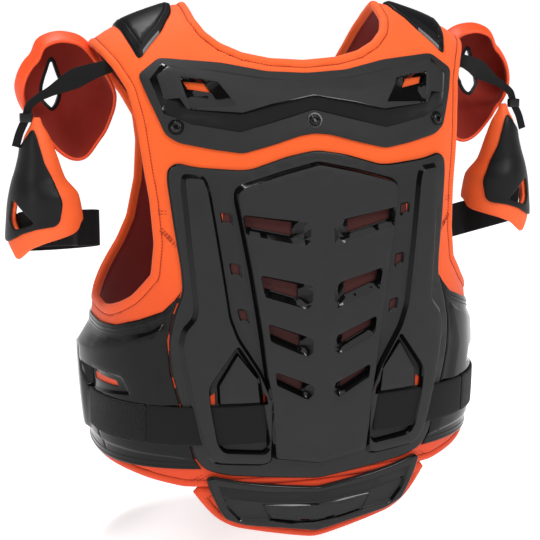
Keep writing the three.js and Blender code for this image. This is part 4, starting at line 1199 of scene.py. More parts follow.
    def under_plate(self, points: np.ndarray) -> np.ndarray:
        """Whether each point lies under the vents of the main plate, or under the seam beside a wing, where the
        vest is painted near black as shade.
        """
        flat = np.column_stack([np.abs(points[:, 0]), points[:, 2]])
        vents = inside_distance(flat, np.array([(-9, -160), (104, -160), (96, -290), (64, -330), (56, -372),
                                                (50, -385), (-9, -385)], float)) > 0
        seam = path_distance(flat, MAIN_OUTLINE, True) < 5.5
        seam &= (flat[:, 1] < -264) & (flat[:, 1] > -440) & (flat[:, 0] > 118)
        return (points[:, 1] < 0) & (vents | seam)

    def seam_lines(self) -> list[np.ndarray]:
        """Two rows of stitches along each seam of the back."""
        lines = []
        for seam in self.seams:
            path = densified(np.array(seam, float), 3, False)
            for shift in (-1.6, 1.6):
                row = path + sideways(path) * shift
                line = TORSO.behind(row[:, 0], row[:, 1], np.full(len(row), -0.9))
                lines += [line, other_side(line)]
        return lines

    def chevron_lines(self) -> list[np.ndarray]:
        """Short bars of the zigzag beside each shoulder blade."""
        lines = []
        for x, z in self.chevrons:
            ends = np.array([(x, z), (x - 3, z - 1.5), (x - 6, z - 3)])
            line = TORSO.behind(ends[:, 0], ends[:, 1], np.full(3, -0.4))
            lines += [line, other_side(line)]
        return lines


@dataclass
class BackPlates:
    """Upper plate, main plate, tail plate and chest plate, with their bolts."""

    lift: float = 0.4
    flange: float = 3.2

    def settle_plate(self, name: str, relief: Relief, node: str) -> None:
        """Makes a plate of its relief and settles it."""
        points, faces, slots = relief.solid()
        settle(make_piece(name, points, faces, [PLATE_MATTE, PLATE_GLOSS], slots), "plate_plastic", node)

    def upper(self) -> None:
        """Upper plate: a ramp that ends in a deep glossy step, with a vent on each side."""
        outline = rounded(mirrored(half_sized(UPPER_PLATE, 334, 91, -33)), 5)
        step = np.array([(0, -69), (43, -76.5), (74, -84.5), (127, -80.5), (133, -70), (147, -71.5),
                         (152, -49), (139, -40.8)])
        foot = np.array([(0, -84), (45, -95.5), (77, -103.5), (124, -95), (136, -89.5), (148, -85.3),
                         (157.5, -53), (144, -38)])
        top_outer = np.array([(94, -44.5), (45, -52), (0, -53.5)])
        top_inner = np.array([(92, -58), (52, -67), (0, -63.5)])
        forms = [
            Form(Kind.RAISE, mirrored(np.vstack([foot, top_outer])), 8.2,
                 inner=mirrored(np.vstack([step, top_inner]))),
        ]
        zones: list[np.ndarray] = []
        for side in Side:
            sign = np.array([side.value, 1])
            vent = np.array([(131, -50), (95, -55), (78.5, -78), (124.5, -79.5)]) * sign
            hole = np.array([(126.5, -55.5), (106.5, -57.5), (101, -66), (123, -62.5)]) * sign
            forms.append(Form(Kind.HOLE, vent, 1.8, inner=hole))
            zones.append(grown(vent, 0.6))
        grooves = [(np.array([(-134, -41), (-94, -46.2), (-45, -54), (0, -56.2), (45, -54), (94, -46.2),
                              (134, -41)], float), 1.3, 0.9)]
        zones.append(mirrored(np.vstack([step, foot[::-1]])))
        relief = Relief(outline, self.flange, self.lift, forms, TORSO.behind, 6, 1.2, grooves, 9.0, zones)
        self.settle_plate("upper_plate", relief, "upper_back_plate")

    def main(self) -> None:
        """Main plate: a ribbed centre panel between two rails, each with a strap window."""
        outline = rounded(MAIN_OUTLINE, 8)
        rail = np.array([(113.5, -143.5), (135, -141.8), (136.7, -153.4), (132.9, -216), (128.4, -272),
                         (129.5, -283), (140.4, -296), (143.5, -312), (135.9, -359.6), (125.3, -410.3),
                         (118, -429), (108, -437), (60, -441), (50, -437), (49, -372), (63, -339.3),
                         (84.6, -304), (92, -283), (93.6, -270), (108.7, -156.8)])
        centre = mirrored(np.array([(0, -133.2), (39, -141.9), (80, -153.5), (86.5, -159), (87, -168.6),
                                    (75, -239.6), (66, -300.5), (60, -347.8), (56, -370), (53, -413),
                                    (51, -434), (0, -444)]))
        window = np.array([(87, -310.5), (112, -346), (116.5, -355), (115, -374), (108, -414), (101, -423.5),
                           (59, -427.5), (53, -421), (64, -351), (66.5, -342)])
        tongue = np.array([(87, -319), (107, -352), (106, -373), (63, -373.5), (65.8, -347)])
        forms = []
        for side in Side:
            sign = np.array([side.value, 1])
            forms.append(Form(Kind.RAISE, rounded(rail * sign, 6), 8.4, 4.2))
        forms.append(Form(Kind.RAISE, rounded(centre, 5), 10.8, 3.4))
        for side in Side:
            sign = np.array([side.value, 1])
            forms.append(Form(Kind.BLEND, rounded(window * sign, 5), 1.4, 3.2))
            forms.append(Form(Kind.RAISE, rounded(tongue * sign, 3), 5.4, 2.0, base=1.4))
            for dot in (np.array([(108.2, -360), (113.6, -364), (113.2, -373.5), (107.6, -373.5)]),
                        np.array([(58.5, -366), (62.5, -360), (61.8, -373.5), (57.6, -373.5)])):
                forms.append(Form(Kind.HOLE, dot * sign, 1.0, inner=grown(dot * sign, -0.4)))
            for vent in self.centre_vents():
                forms.append(Form(Kind.HOLE, rounded(vent[0] * sign, 2.2, 3), 2.2,
                                  inner=rounded(vent[1] * sign, 1.6, 3)))
            for vent in self.side_vents():
                forms.append(Form(Kind.HOLE, rounded(vent * sign, 1.6, 3), 1.4,
                                  inner=rounded(grown(vent * sign, -1.8), 1.2, 3)))
        relief = Relief(outline, self.flange, self.lift, forms, TORSO.behind, 6)
        self.settle_plate("main_plate", relief, "main_back_plate")

    def centre_vents(self) -> list[tuple[np.ndarray, np.ndarray]]:
        """Bevel and hole of each vent beside the spine, inner top corner first."""
        bevels = [
            [(10.5, -192), (81, -181.5), (78, -202), (11, -217)],
            [(9.5, -255), (65, -241), (60.5, -264), (11, -281)],
            [(9.5, -309), (58, -290), (55.5, -308.5), (11, -330)],
            [(8.5, -358), (51, -339.5), (49.5, -353.5), (10.5, -375)],
        ]
        spots = [(0.27, 0.13), (0.95, 0.1), (0.95, 0.6), (0.27, 0.68)]
        vents = []
        for corners in bevels:
            a, b, c, d = (np.array(corner, float) for corner in corners)
            hole = [(1 - u) * (1 - v) * a + u * (1 - v) * b + u * v * c + (1 - u) * v * d for u, v in spots]
            vents.append((np.array([a, b, c, d]), np.array(hole)))
        return vents

    def side_vents(self) -> list[np.ndarray]:
        """Outline of each vent in the channel between a rail and the centre panel."""
        return [np.array(corners, float) for corners in (
            [(89, -180), (101, -178.5), (99.5, -190.5), (87.5, -193)],
            [(82, -230.5), (94, -228.5), (91.5, -241.5), (80.5, -244.5)],
            [(75.5, -277), (87, -274.5), (84, -287.5), (73.5, -291)],
        )]

    def tail(self) -> None:
        """Tail plate: a rim round a sunk field with a raised middle block."""
        outline = rounded(mirrored(half_sized(TAIL_PLATE, 232, 68, -457)), 4)
        field_outer_half = np.array([(0, -475), (55, -469), (106, -459.5), (97, -485), (84, -500),
                                     (50, -503.5), (25, -509), (0, -511)])
        field_inner_half = np.array([(0, -487.5), (55, -483), (98, -475), (93, -485), (82.5, -497.5),
                                     (50, -501), (25, -506.5), (0, -508.5)])
        field_outer, field_inner = mirrored(field_outer_half), mirrored(field_inner_half)
        block = mirrored(np.array([(0, -489), (60, -484), (51, -502), (25, -507.3), (0, -509.2)]))
        forms = [
            Form(Kind.BLEND, field_outer, 2.6, inner=field_inner),
            Form(Kind.RAISE, block, 4.6, 2.4, base=2.6),
        ]
        for side in Side:
            slot = np.array([(9, -505.6), (18.5, -504.2), (18.5, -506.6), (9, -508)]) * np.array([side.value, 1])
            forms.append(Form(Kind.HOLE, slot, 1.0, inner=grown(slot, -0.3)))
        bevel = mirrored(np.vstack([field_outer_half[:3], field_inner_half[:3][::-1]]))
        relief = Relief(outline, 6.2, self.lift, forms, TORSO.behind, 6, 1.6, zones=[bevel])
        self.settle_plate("tail_guard", relief, "tail_plate")

    def chest(self) -> None:
        """Chest plate: a plain shell with one raised field."""
        outline = rounded(mirrored(half_sized(CHEST_PLATE, 204, 190, -136)), 10)
        raised = rounded(grown(outline, -14), 6)
        forms = [Form(Kind.RAISE, raised, 4.3, 4, base=3.0)]
        relief = Relief(outline, 3.0, self.lift, forms,
                        lambda x, z, height: TORSO.behind(x, z, height, True), 8)
        self.settle_plate("chest_guard", relief, "chest_plate")

    def bolts(self) -> None:
        """Three domed bolts with washers and hexagon sockets."""
        spots = np.array([(-137.5, -98), (0, -94), (138.5, -98)], float)
        seats = TORSO.behind(spots[:, 0], spots[:, 1], np.full(3, self.flange - 0.9))
        above = TORSO.behind(spots[:, 0], spots[:, 1], np.full(3, self.flange))
        runs = TORSO.run_at(seats[:, 2])
        normals = TORSO.normals(seats, runs)
        tree = BoltTree(self.bolt_head())
        piece = tree.seat("plate_bolts", above - normals * 0.9, normals)
        settle(piece, "bolt", "plate_bolt_left", "plate_bolt_centre", "plate_bolt_right")

    def bolt_head(self) -> bpy.types.Object:
        """Bolt along +Z: flat washer, rounded head and hexagon socket, as one turned mesh."""
        rows = [(8.0, 0.0), (8.0, 0.9), (7.7, 1.2), (6.2, 1.25), (6.0, 1.1), (5.7, 1.15), (5.6, 2.4), (5.2, 3.2),
                (4.3, 3.7), (3.3, 3.85), (3.1, 3.7)]
        count = 36
        points = []
        for radius, level in rows:
            points += [(radius * math.cos(a), radius * math.sin(a), level)
                       for a in np.linspace(0, 2 * math.pi, count, endpoint=False)]
        for level, share in ((3.6, 1.0), (1.6, 0.96)):
            for a in np.linspace(0, 2 * math.pi, count, endpoint=False):
                wedge = (a % (math.pi / 3)) - math.pi / 6
                radius = 2.5 * share * math.cos(math.pi / 6) / math.cos(wedge)
                points.append((radius * math.cos(a), radius * math.sin(a), level))
        rings = len(rows) + 2
        faces = quads(rings, count)
        faces.append(list(range(count))[::-1])
        faces.append([(rings - 1) * count + i for i in range(count)])
        return make_piece("bolt_pattern", np.array(points), faces, [BOLT_BLACK], sharp=35)

    def build(self) -> None:
        """Builds all four plates and the bolts."""
        self.upper()
        self.main()
        self.tail()
        self.chest()
        self.bolts()


class BoltTree:
    """Geometry Nodes that seat one bolt on each point of a mesh, along the point's direction."""

    def __init__(self, head: bpy.types.Object) -> None:
        """Builds the tree.

        Args:
            head: object whose mesh is repeated.
        """
        tree = bpy.data.node_groups.new("bolts_on_points", "GeometryNodeTree")
        self.tree = tree
        self.head = head
        tree.interface.new_socket("Points", in_out="INPUT", socket_type="NodeSocketGeometry")
        self.size = tree.interface.new_socket("Size", in_out="INPUT", socket_type="NodeSocketFloat").identifier
        tree.interface.new_socket("Bolts", in_out="OUTPUT", socket_type="NodeSocketGeometry")
        nodes, links = tree.nodes, tree.links
        given = nodes.new("NodeGroupInput")
        source = nodes.new("GeometryNodeObjectInfo")
        source.inputs["Object"].default_value = head
        direction = nodes.new("GeometryNodeInputNamedAttribute")
        direction.data_type = "FLOAT_VECTOR"
        direction.inputs["Name"].default_value = "direction"
        turn = nodes.new("FunctionNodeAlignRotationToVector")
        turn.axis = "Z"
        points = nodes.new("GeometryNodeMeshToPoints")
        instances = nodes.new("GeometryNodeInstanceOnPoints")
        realize = nodes.new("GeometryNodeRealizeInstances")
        dress = nodes.new("GeometryNodeSetMaterial")
        dress.inputs["Material"].default_value = BOLT_BLACK.material()
        result = nodes.new("NodeGroupOutput")
        links.new(given.outputs["Points"], points.inputs["Mesh"])
        links.new(points.outputs["Points"], instances.inputs["Points"])
        links.new(source.outputs["Geometry"], instances.inputs["Instance"])
        links.new(direction.outputs["Attribute"], turn.inputs["Vector"])
        links.new(turn.outputs["Rotation"], instances.inputs["Rotation"])
        links.new(given.outputs["Size"], instances.inputs["Scale"])
        links.new(instances.outputs["Instances"], realize.inputs["Geometry"])
        links.new(realize.outputs["Geometry"], dress.inputs["Geometry"])
        links.new(dress.outputs["Geometry"], result.inputs["Bolts"])

    def seat(self, name: str, points: np.ndarray, directions: np.ndarray) -> bpy.types.Object:
        """Seats bolts.

        Args:
            name: name of the piece.
            points: seats in millimetres.
            directions: outward direction at each seat.

        Returns:
            A plain mesh object; the pattern is removed.
        """
        mesh = bpy.data.meshes.new(name)
        mesh.from_pydata((points * MM).tolist(), [], [])
        attribute = mesh.attributes.new("direction", "FLOAT_VECTOR", "POINT")
        attribute.data.foreach_set("vector", directions.astype(np.float32).ravel())
        piece = run_tree(name, mesh, self.tree, {self.size: 1.0})
        bpy.data.objects.remove(self.head)
        return piece


def wing_place(x: float, z: float, y: float | None = None) -> tuple[float, float]:
    """Length round the body and level of a place that is known by x, or by y on the flank."""
    turns = np.linspace(0, math.pi, 1441)
    section = TORSO.on_section(turns, np.full(len(turns), float(TORSO.run_at(z))))
    lengths = lengths_along(section)
    if y is None:
        half = 721
        return float(np.interp(x, section[:half, 0], lengths[:half])), z
    return float(np.interp(y, section[:, 1], lengths)), z


def wing_places(*spots: tuple[float, ...]) -> np.ndarray:
    """Places round the body of spots, each of x and level, or of 0, level and y."""
    return np.array([wing_place(*spot) for spot in spots])


@dataclass
class Waist:
    """Side wings, waist straps and the loop patches that close them."""

    gap: float = 1.0
    patch_reach: float = 170.0
    strap_level: float = -394.0
    strap_width: float = 40.0

    def wing(self) -> None:
        """Glossy wing on each flank, with a stitched strip above it and a vent."""
        plate = grown(MAIN_OUTLINE, self.gap)
        edge = [wing_place(x, z) for x, z in plate if x > 115 and -441 < z < -258]
        edge.sort(key=lambda spot: spot[1])
        rest = wing_places(
            (138.5, -259.3), (144, -267), (155, -279), (175, -289), (0, -299, -62), (0, -302.4, -28),
            (0, -303.8, 36), (0, -443.9, 36), (0, -443.2, -60), (160, -442.6), (121, -442.4),
        )
        outline = np.array([*edge, *rest])
        face = wing_places(
            (150.4, -297), (153, -288), (166, -300), (0, -309, -70), (0, -312, -30), (0, -313, 40), (0, -427, 40),
            (0, -428, -70), (150, -430), (124.5, -433), (140, -391.7), (152.6, -339.3), (154.6, -309),
        )
        flat = wing_places(
            (153.5, -301), (155.5, -297), (168, -304), (0, -318, -72), (0, -332, -26), (0, -338, 40), (0, -423, 40),
            (0, -424, -70), (150, -427), (127.5, -430), (143, -391.7), (155.6, -339.3), (157.4, -309),
        )
        crease = wing_places(
            (155, -284), (169, -337), (160, -376), (153, -396), (138, -436), (110, -436), (110, -284),
        )
        fall = wing_places(
            (146, -290), (157, -330), (146, -384), (141, -400), (120, -437), (108, -437), (108, -284),
        )
        vent = wing_places((0, -351, -3), (0, -350.5, -74), (184, -366), (0, -377, -6))
        hole = wing_places((0, -355.5, -15), (0, -354.5, -67), (0, -362.5, -72), (0, -366.5, -19))
        rib = wing_places((0, -340, 6), (0, -362, 2), (0, -412, -30), (0, -432, -44))
        base = 1.7
        rear, front, band = (wing_place(0, -340, y)[0] for y in (-78, 8, -12))

        def swell(places: np.ndarray) -> np.ndarray:
            """Height of the flat face, which stands out towards the front but not under the strap."""
            out = smooth((places[:, 0] - rear) / (front - rear))
            ahead = smooth((places[:, 0] - band) / 20)
            low = np.clip((-342 - places[:, 1]) / 84, 0, 1)
            above = smooth((places[:, 1] + 374) / 26)
            return 3.7 + out * (11.0 - 7.0 * low) * np.maximum(above, ahead)

        forms = [
            Form(Kind.RAISE, face, swell, inner=flat, base=base),
            Form(Kind.BLEND, crease, 1.9, inner=fall),
            Form(Kind.BLEND, rounded(grown(vent, 1.5), 4), 1.3, 3.4),
            Form(Kind.HOLE, rounded(hole, 3), 0.9, 1.6),
        ]
        grooves = [(rib, 1.6, 1.1)]
        relief = Relief(outline, base, 0.4, forms, TORSO.around, 5, 1.0, grooves)
        points, faces, slots = relief.solid()
        for side in Side:
            sided(side, "wing", points, faces, [WING_GLOSS, PLATE_GLOSS], "wing_gloss", "side_wing", slots)

    def seam_lines(self) -> list[np.ndarray]:
        """Rows of stitches along the strip above each wing and along its foot."""
        rows = [((146, -270 - drop), (156, -281.5 - drop), (175, -291 - drop), (0, -300.5 - drop, -62),
                 (0, -304 - drop, -28), (0, -305 - drop, 34)) for drop in (2.6, 6.6)]
        rows += [((126, level), (150, level), (0, level, -60), (0, level, 34)) for level in (-435, -440)]
        lines = []
        for spots in rows:
            line = densified(wing_places(*spots), 4, False)
            lines.append(TORSO.around(line[:, 0], line[:, 1], np.full(len(line), 1.75)))
        return lines + [other_side(line) for line in lines]

    def band(self, low: float, high: float, front: float | None, bottom: float, top: float,
             grid: float) -> tuple[np.ndarray, list]:
        """Flat band of tape round the flank.

        Args:
            low, high: x of its ends on the back; front, where given, is the y of its end instead.
            bottom, top: its two faces, from the body.
            grid: spacing of its mesh.

        Returns:
            Points and faces of the right band.
        """
        level, half = self.strap_level - 0.6, self.strap_width / 2
        spots = [wing_place(low, level - half), wing_place(low, level + half)]
        if front is None:
            spots += [wing_place(high, level + half), wing_place(high, level - half)]
        else:
            spots += [wing_place(0, level + half, front), wing_place(0, level - half, front)]
        outline = rounded(np.array(spots), 3)
        relief = Relief(outline, top, bottom, [], TORSO.around, grid, 0.7)
        points, faces, _ = relief.solid()
        return points, faces

    def build(self, stitches: StitchTree) -> None:
        """Builds the wings, the straps, the patches and their seams."""
        self.wing()
        strap, strap_faces = self.band(57.5, self.patch_reach, None, 3.9, 5.9, 5)
        patch, patch_faces = self.band(self.patch_reach + 0.5, 0, -16, 3.9, 6.5, 5)
        for side in Side:
            sided(side, "strap", strap, strap_faces, [TAPE], "webbing", "waist_strap")
            sided(side, "patch", patch, patch_faces, [PILE], "loop_patch", "loop_patch")
        settle(stitches.sew("wing_stitches", self.seam_lines(), 2.6, 1.7, 0.32), "webbing")


def grid_skin(table: np.ndarray, wrap: bool, facing: np.ndarray,
              fields: dict[str, np.ndarray]) -> Skin:
    """Skin over a table of points.

    Args:
        table: rows of points, one row per station.
        wrap: whether each row closes on itself.
        facing: one direction per point, on the outer side.
        fields: value of each field at each point, row by row.

    Returns:
        The skin.
    """
    rows, columns = table.shape[:2]
    if wrap:
        along = np.roll(table, -1, axis=1) - np.roll(table, 1, axis=1)
    else:
        along = np.gradient(table, axis=1)
    across = np.gradient(table, axis=0)
    normals = np.cross(along, across)
    length = np.linalg.norm(normals, axis=2, keepdims=True)
    normals = np.where(length > 1e-6, normals / np.maximum(length, 1e-9), facing)
    wrong = np.sum(normals * facing, axis=2, keepdims=True) < 0
    normals = np.where(wrong, -normals, normals)
    faces = quads(rows, columns, closed_columns=wrap)
    return Skin(table.reshape(-1, 3), normals.reshape(-1, 3), faces, fields)


@dataclass
class ShoulderCup:
    """Hood over the arm: rolled rim, knitted inside darkened with painted shade, and a black-edged window."""

    centre: tuple[float, float, float] = (226.0, 0.0, -70.0)
    reach: float = 77.0
    depth: float = 42.0
    wall: float = 4.0
    edging: float = 3.6
    columns: int = 120
    rim_rows: list[tuple[float, float, float]] = field(default_factory=lambda: [
        (-180, 0.68, 0.1), (-150, 0.68, 0), (-122, 0.76, 0), (-104, 0.9, 0), (-93, 0.88, 0), (-68, 0.67, 0),
        (-45, 0.585, 0.15), (-12, 0.65, 0.6), (11, 0.68, 0.9), (43, 0.69, 1), (50, 0.7, 1), (53, 0.66, 1),
        (58, 0.76, 1), (66, 0.82, 1), (84, 0.84, 1), (107, 0.81, 1), (125, 0.72, 1), (142, 0.66, 0.8),
        (160, 0.66, 0.4), (180, 0.68, 0.1),
    ])
    drops: dict[Side, float] = field(default_factory=lambda: {Side.LEFT: -3.0, Side.RIGHT: 1.0})
    profile: list[tuple[float, float, float, float]] = field(default_factory=lambda: [
        (0.86, -0.02, 1, 0), (0.95, 0.2, 0.93, 0.14), (1, 0.42, 0.85, 0.3), (0.95, 0.64, 0.75, 0.48),
        (0.78, 0.83, 0.6, 0.68), (0.45, 0.96, 0.35, 0.88), (0, 1, 0, 1),
    ])
    window: Pairs = field(default_factory=lambda: [
        (-0.02, 0), (0.25, 0.3), (0.42, 0.53), (0.5, 0.79), (0.1, 1), (-0.14, 0.89), (-0.48, 0.53),
        (-0.28, 0.34),
    ])

    def table(self) -> tuple[np.ndarray, np.ndarray]:
        """Points by share from the rim to the crown and by angle, and the share of each."""
        angles = np.linspace(-180, 180, self.columns, endpoint=False)
        knots = [row[0] for row in self.rim_rows]
        rim = np.interp(angles, knots, [row[1] for row in self.rim_rows])
        kernel = np.array([0.15, 0.2, 0.3, 0.2, 0.15])
        rim = sum(weight * np.roll(rim, k - 2) for k, weight in enumerate(kernel))
        hood = np.interp(angles, knots, [row[2] for row in self.rim_rows])
        shares = np.concatenate([[0, 0.008, 0.02, 0.04], np.linspace(0.07, 0.985, 26)])
        steps = np.arange(len(self.profile)) / (len(self.profile) - 1)
        columns = [curve_value(steps, [row[k] for row in self.profile], shares) for k in range(4)]
        rows = []
        turn = np.radians(angles)
        for hood_radius, hood_depth, flat_radius, flat_depth in zip(*columns):
            radius = rim * self.reach * (flat_radius + (hood_radius - flat_radius) * hood)
            deep = self.depth * (flat_depth + (hood_depth - flat_depth) * hood)
            rows.append(np.column_stack([
                self.centre[0] + radius * np.cos(turn), self.centre[1] + deep,
                self.centre[2] + radius * np.sin(turn),
            ]))
        return np.array(rows), np.repeat(shares, len(angles))

    def build(self) -> None:
        """Builds the cup of each side."""
        table, shares = self.table()
        facing = unit(table - np.array(self.centre))
        flat = table.reshape(-1, 3)
        shape = np.array([(self.centre[0] + 10 + x * 22, self.centre[2] + 36 - drop * 53)
                          for x, drop in self.window])
        window = -inside_distance(flat[:, [0, 2]], rounded(shape, 3))
        crown = flat[-self.columns:].mean(axis=0)
        skin = grid_skin(table, True, facing, {"share": shares, "window": window})
        skin.rows.append(np.concatenate([crown + (0, 0.1, 0), (0, 1, 0), (1, 40)]))
        last = len(flat)
        start = last - self.columns
        skin.faces += [[start + k, start + (k + 1) % self.columns, last] for k in range(self.columns)]
        skin.keep("window")
        skin.cut("window", self.edging)
        share, edge = skin.values("share"), skin.values("window")
        half = self.wall / 2 * np.sqrt(np.clip(1 - (1 - np.clip(share / 0.04, 0, 1)) ** 2, 0, 1))
        lip = np.where(edge < self.edging, 0.5, 0)
        outer, inner = half - self.wall / 2 + lip, -half - self.wall / 2 - lip
        points, faces, sides = skin.thick(outer, inner)
        count = len(skin.rows)
        # Slot 1, the inside, is the knit in painted shade.
        slots = []
        for loop, side in zip(faces, sides):
            kin = [i % count for i in loop]
            middle = sum(edge[i] for i in kin) / len(kin)
            if side == 2 and sum(share[i] for i in kin) / len(kin) > 0.005 or middle < self.edging - 0.05:
                slots.append(2)
            else:
                slots.append(1 if side == 1 and sum(share[i] for i in kin) / len(kin) > 0.055 else 0)
        for side in Side:
            cup = sided(side, "cup", points + (0, 0, self.drops[side]), faces, [CUP_ORANGE, CUP_KNIT_SHADE, RUBBER],
                        "shoulder_rubber", "shoulder_cup", slots, 50)


@dataclass(frozen=True)
class Hang:
    """How the guard of one arm hangs: twist round the arm in degrees, and slope of its elastic loop."""

    twist: float
    ahead: float
    inward: float
    drop: float

    def turned(self, points: np.ndarray, middle: tuple[float, float]) -> np.ndarray:
        """Points of the right side, twisted round an upright line."""
        angle = math.radians(self.twist)
        x, y = points[:, 0] - middle[0], points[:, 1] - middle[1]
        return np.column_stack([
            middle[0] + x * math.cos(angle) - y * math.sin(angle),
            middle[1] + x * math.sin(angle) + y * math.cos(angle), points[:, 2],
        ])

    def sloped(self, points: np.ndarray, middle: tuple[float, float]) -> np.ndarray:
        """Points of the elastic loop, lower ahead and inward."""
        fall = self.drop + self.ahead * (points[:, 1] - middle[1]) + self.inward * (middle[0] - points[:, 0])
        return points - np.column_stack([np.zeros(len(points)), np.zeros(len(points)), fall])


@dataclass
class ArmGuard:
    """Orange pad round the back of the arm, its black face, the elastic loop, webbing and keeper."""

    hangs: dict[Side, Hang] = field(default_factory=lambda: {
        Side.LEFT: Hang(14, 0.24, 0.0, 2.0), Side.RIGHT: Hang(-13, 0.3, 0.2, 7.0),
    })

    radius: float = 41.0
    length: float = 130.0
    top: float = -97.0
    reach: float = 254.0
    rows: list[tuple[float, float, float, float]] = field(default_factory=lambda: [
        (-0.06, 0.1, 0.08, -0.4), (0, 0.14, 0.08, -0.4), (0.12, 0.33, 0.08, -0.37), (0.3, 0.49, 0.05, -0.32),
        (0.42, 0.61, 0.05, -0.27), (0.575, 0.85, -0.05, -0.2), (0.75, 0.93, -0.05, -0.15),
        (0.9, 0.96, -0.04, -0.15), (1.1, 0.97, -0.04, -0.15),
    ])
    pad_outline: Pairs = field(default_factory=lambda: [
        (-0.3, -0.04), (0.4, -0.04), (1.4, 0.4), (1.4, 0.83), (0.88, 0.96), (0.67, 1.06), (0.27, 0.955),
        (-0.12, 0.91), (-0.78, 0.86), (-0.9, 0.84), (-0.98, 0.77), (-1.4, 0.7), (-1.4, 0.4),
    ])
    face_outline: Pairs = field(default_factory=lambda: [
        (0.15, 0.045), (0.5, 0.2), (1.4, 0.3), (1.4, 0.85), (0.88, 0.93), (0.45, 0.84), (0.1, 0.8),
        (-0.34, 0.78), (-0.44, 0.75), (-0.51, 0.62), (-0.49, 0.575), (-0.1, 0.305), (0.07, 0.1),
    ])
    cut: Pairs = field(default_factory=lambda: [(0.66, 0.585), (0.75, 0.74), (0.64, 0.815), (0.15, 0.755)])
    band_path: Pairs = field(default_factory=lambda: [
        (-0.165, -0.22), (-0.09, -0.375), (0.02, -0.46), (0.16, -0.49), (0.3, -0.46), (0.41, -0.375),
        (0.475, -0.255), (0.48, -0.115), (0.48, 0.04), (0.4, 0.28), (0.2, 0.46), (-0.05, 0.5), (-0.3, 0.4),
        (-0.465, 0.2), (-0.495, 0.02), (-0.41, -0.1), (-0.285, -0.145), (-0.21, -0.155),
    ])
    over_cup: list[tuple[float, float, float, float]] = field(default_factory=lambda: [
        (-0.6, -0.3, 0.4, 0.35), (-0.405, -0.47, 0.345, 0.35), (-0.234, -0.403, 0.286, 0.42),
        (-0.065, -0.312, 0.208, 0.5), (0.104, -0.247, 0.117, 0.38), (0.273, -0.195, 0.026, 0.24),
        (0.416, -0.169, -0.052, 0.2),
        (0.532, -0.169, -0.156, 0.2),
    ])
    on_guard: list[tuple[float, float, float, float]] = field(default_factory=lambda: [
        (0.395, -0.341, -0.031, 0.2), (0.561, -0.366, 0.077, 0.2), (0.671, -0.366, 0.185, 0.2),
    ])

    def sized(self, outline: Pairs) -> np.ndarray:
        """Outline seen from behind, in millimetres."""
        table = np.array(outline)
        return np.column_stack([self.reach + table[:, 0] * self.radius, self.top - table[:, 1] * self.length])

    def shell(self, first: float, last: float, outline: Pairs, low: float, high: float,
              rim: float) -> tuple[Skin, np.ndarray, np.ndarray]:
        """Skin of a layer of the guard, with its outer and inner offsets.

        Args:
            first, last: angles of its edges, 0 straight back.
            outline: its outline seen from behind.
            low, high: its faces, from the pad's surface.
            rim: width of its rounded edge.

        Returns:
            The skin and the offsets.
        """
        angles = np.linspace(first, last, 72)
        drops = np.linspace(-0.05, 1.09, 78)
        knots = [row[0] for row in self.rows]
        wide, out, ahead = (curve_value(knots, [row[k] for row in self.rows], drops) * self.radius
                            for k in (1, 2, 3))
        turn = np.radians(angles)
        table = np.stack([
            self.reach + out[:, None] + wide[:, None] * np.sin(turn),
            ahead[:, None] - wide[:, None] * np.cos(turn),
            np.repeat((self.top - drops * self.length)[:, None], len(angles), axis=1),
        ], axis=2)
        facing = np.stack([np.broadcast_to(np.sin(turn), table.shape[:2]),
                           np.broadcast_to(-np.cos(turn), table.shape[:2]), np.zeros(table.shape[:2])], axis=2)
        flat = table.reshape(-1, 3)[:, [0, 2]]
        span = np.minimum(angles - first, last - angles)[None, :] * math.pi / 180 * wide[:, None] + 0.001
        edge = inside_distance(flat, rounded(self.sized(outline), 4))
        edge = np.minimum(edge, -inside_distance(flat, rounded(self.sized(self.cut), 3)))
        edge = np.minimum(edge, span.ravel())
        skin = grid_skin(table, False, facing, {"edge": edge})
        skin.keep("edge", 0.0)
        skin.cut("edge", 0.06 * rim, 0.25 * rim, 0.55 * rim, rim)
        middle, half = (low + high) / 2, (high - low) / 2
        share = np.clip(skin.values("edge") / rim, 0, 1)
        reach = half * np.sqrt(np.clip(1 - (1 - share) ** 2, 0, 1))
        return skin, middle + reach, middle - reach

    def loop(self) -> tuple[np.ndarray, list]:
        """Closed elastic band round the arm."""
        knots = np.array([
            (self.reach - 0.39 * self.radius + x * 86, 0.22 * self.radius + y * 88) for x, y in self.band_path
        ])
        count = len(knots)
        places = []
        for place in np.linspace(0, count, 108, endpoint=False):
            low, t = int(place), place % 1
            a, b, c, d = (knots[(low + k) % count] for k in (-1, 0, 1, 2))
            places.append(0.5 * (2 * b + (c - a) * t + (2 * a - 5 * b + 4 * c - d) * t * t
                                 + (3 * b - a - 3 * c + d) * t ** 3))
        path = np.array(places)
        ahead = np.roll(path, -1, axis=0) - np.roll(path, 1, axis=0)
        side = unit(np.column_stack([ahead[:, 1], -ahead[:, 0]]))
        level = self.top - 0.838 * self.length
        section = [(1.3, -17.5), (1.1, -18.7), (0.0, -19), (-1.1, -18.7), (-1.3, -17.5), (-1.3, 0), (-1.3, 17.5),
                   (-1.1, 18.7), (0.0, 19), (1.1, 18.7), (1.3, 17.5), (1.3, 0)]
        points = [np.column_stack([path + side * out, np.full(len(path), level + up)]) for out, up in section]
        table = np.stack(points, axis=1)
        return table.reshape(-1, 3), quads(*table.shape[:2], closed_rows=True)

    def webbing_path(self) -> np.ndarray:
        """Middle of the webbing and its half width, at each station."""
        spots = [(226 + x * 77, y * 77, -70 + z * 77, half * 20) for x, y, z, half in self.over_cup]
        spots += [(self.reach + x * self.radius, y * self.radius, self.top - drop * self.length, half * 20)
                  for x, y, drop, half in self.on_guard]
        knots = np.array(spots)
        steps = np.arange(len(knots))
        stations = np.linspace(0, len(knots) - 1, 55)
        return np.column_stack([curve_value(steps, knots[:, k], stations) for k in range(4)])

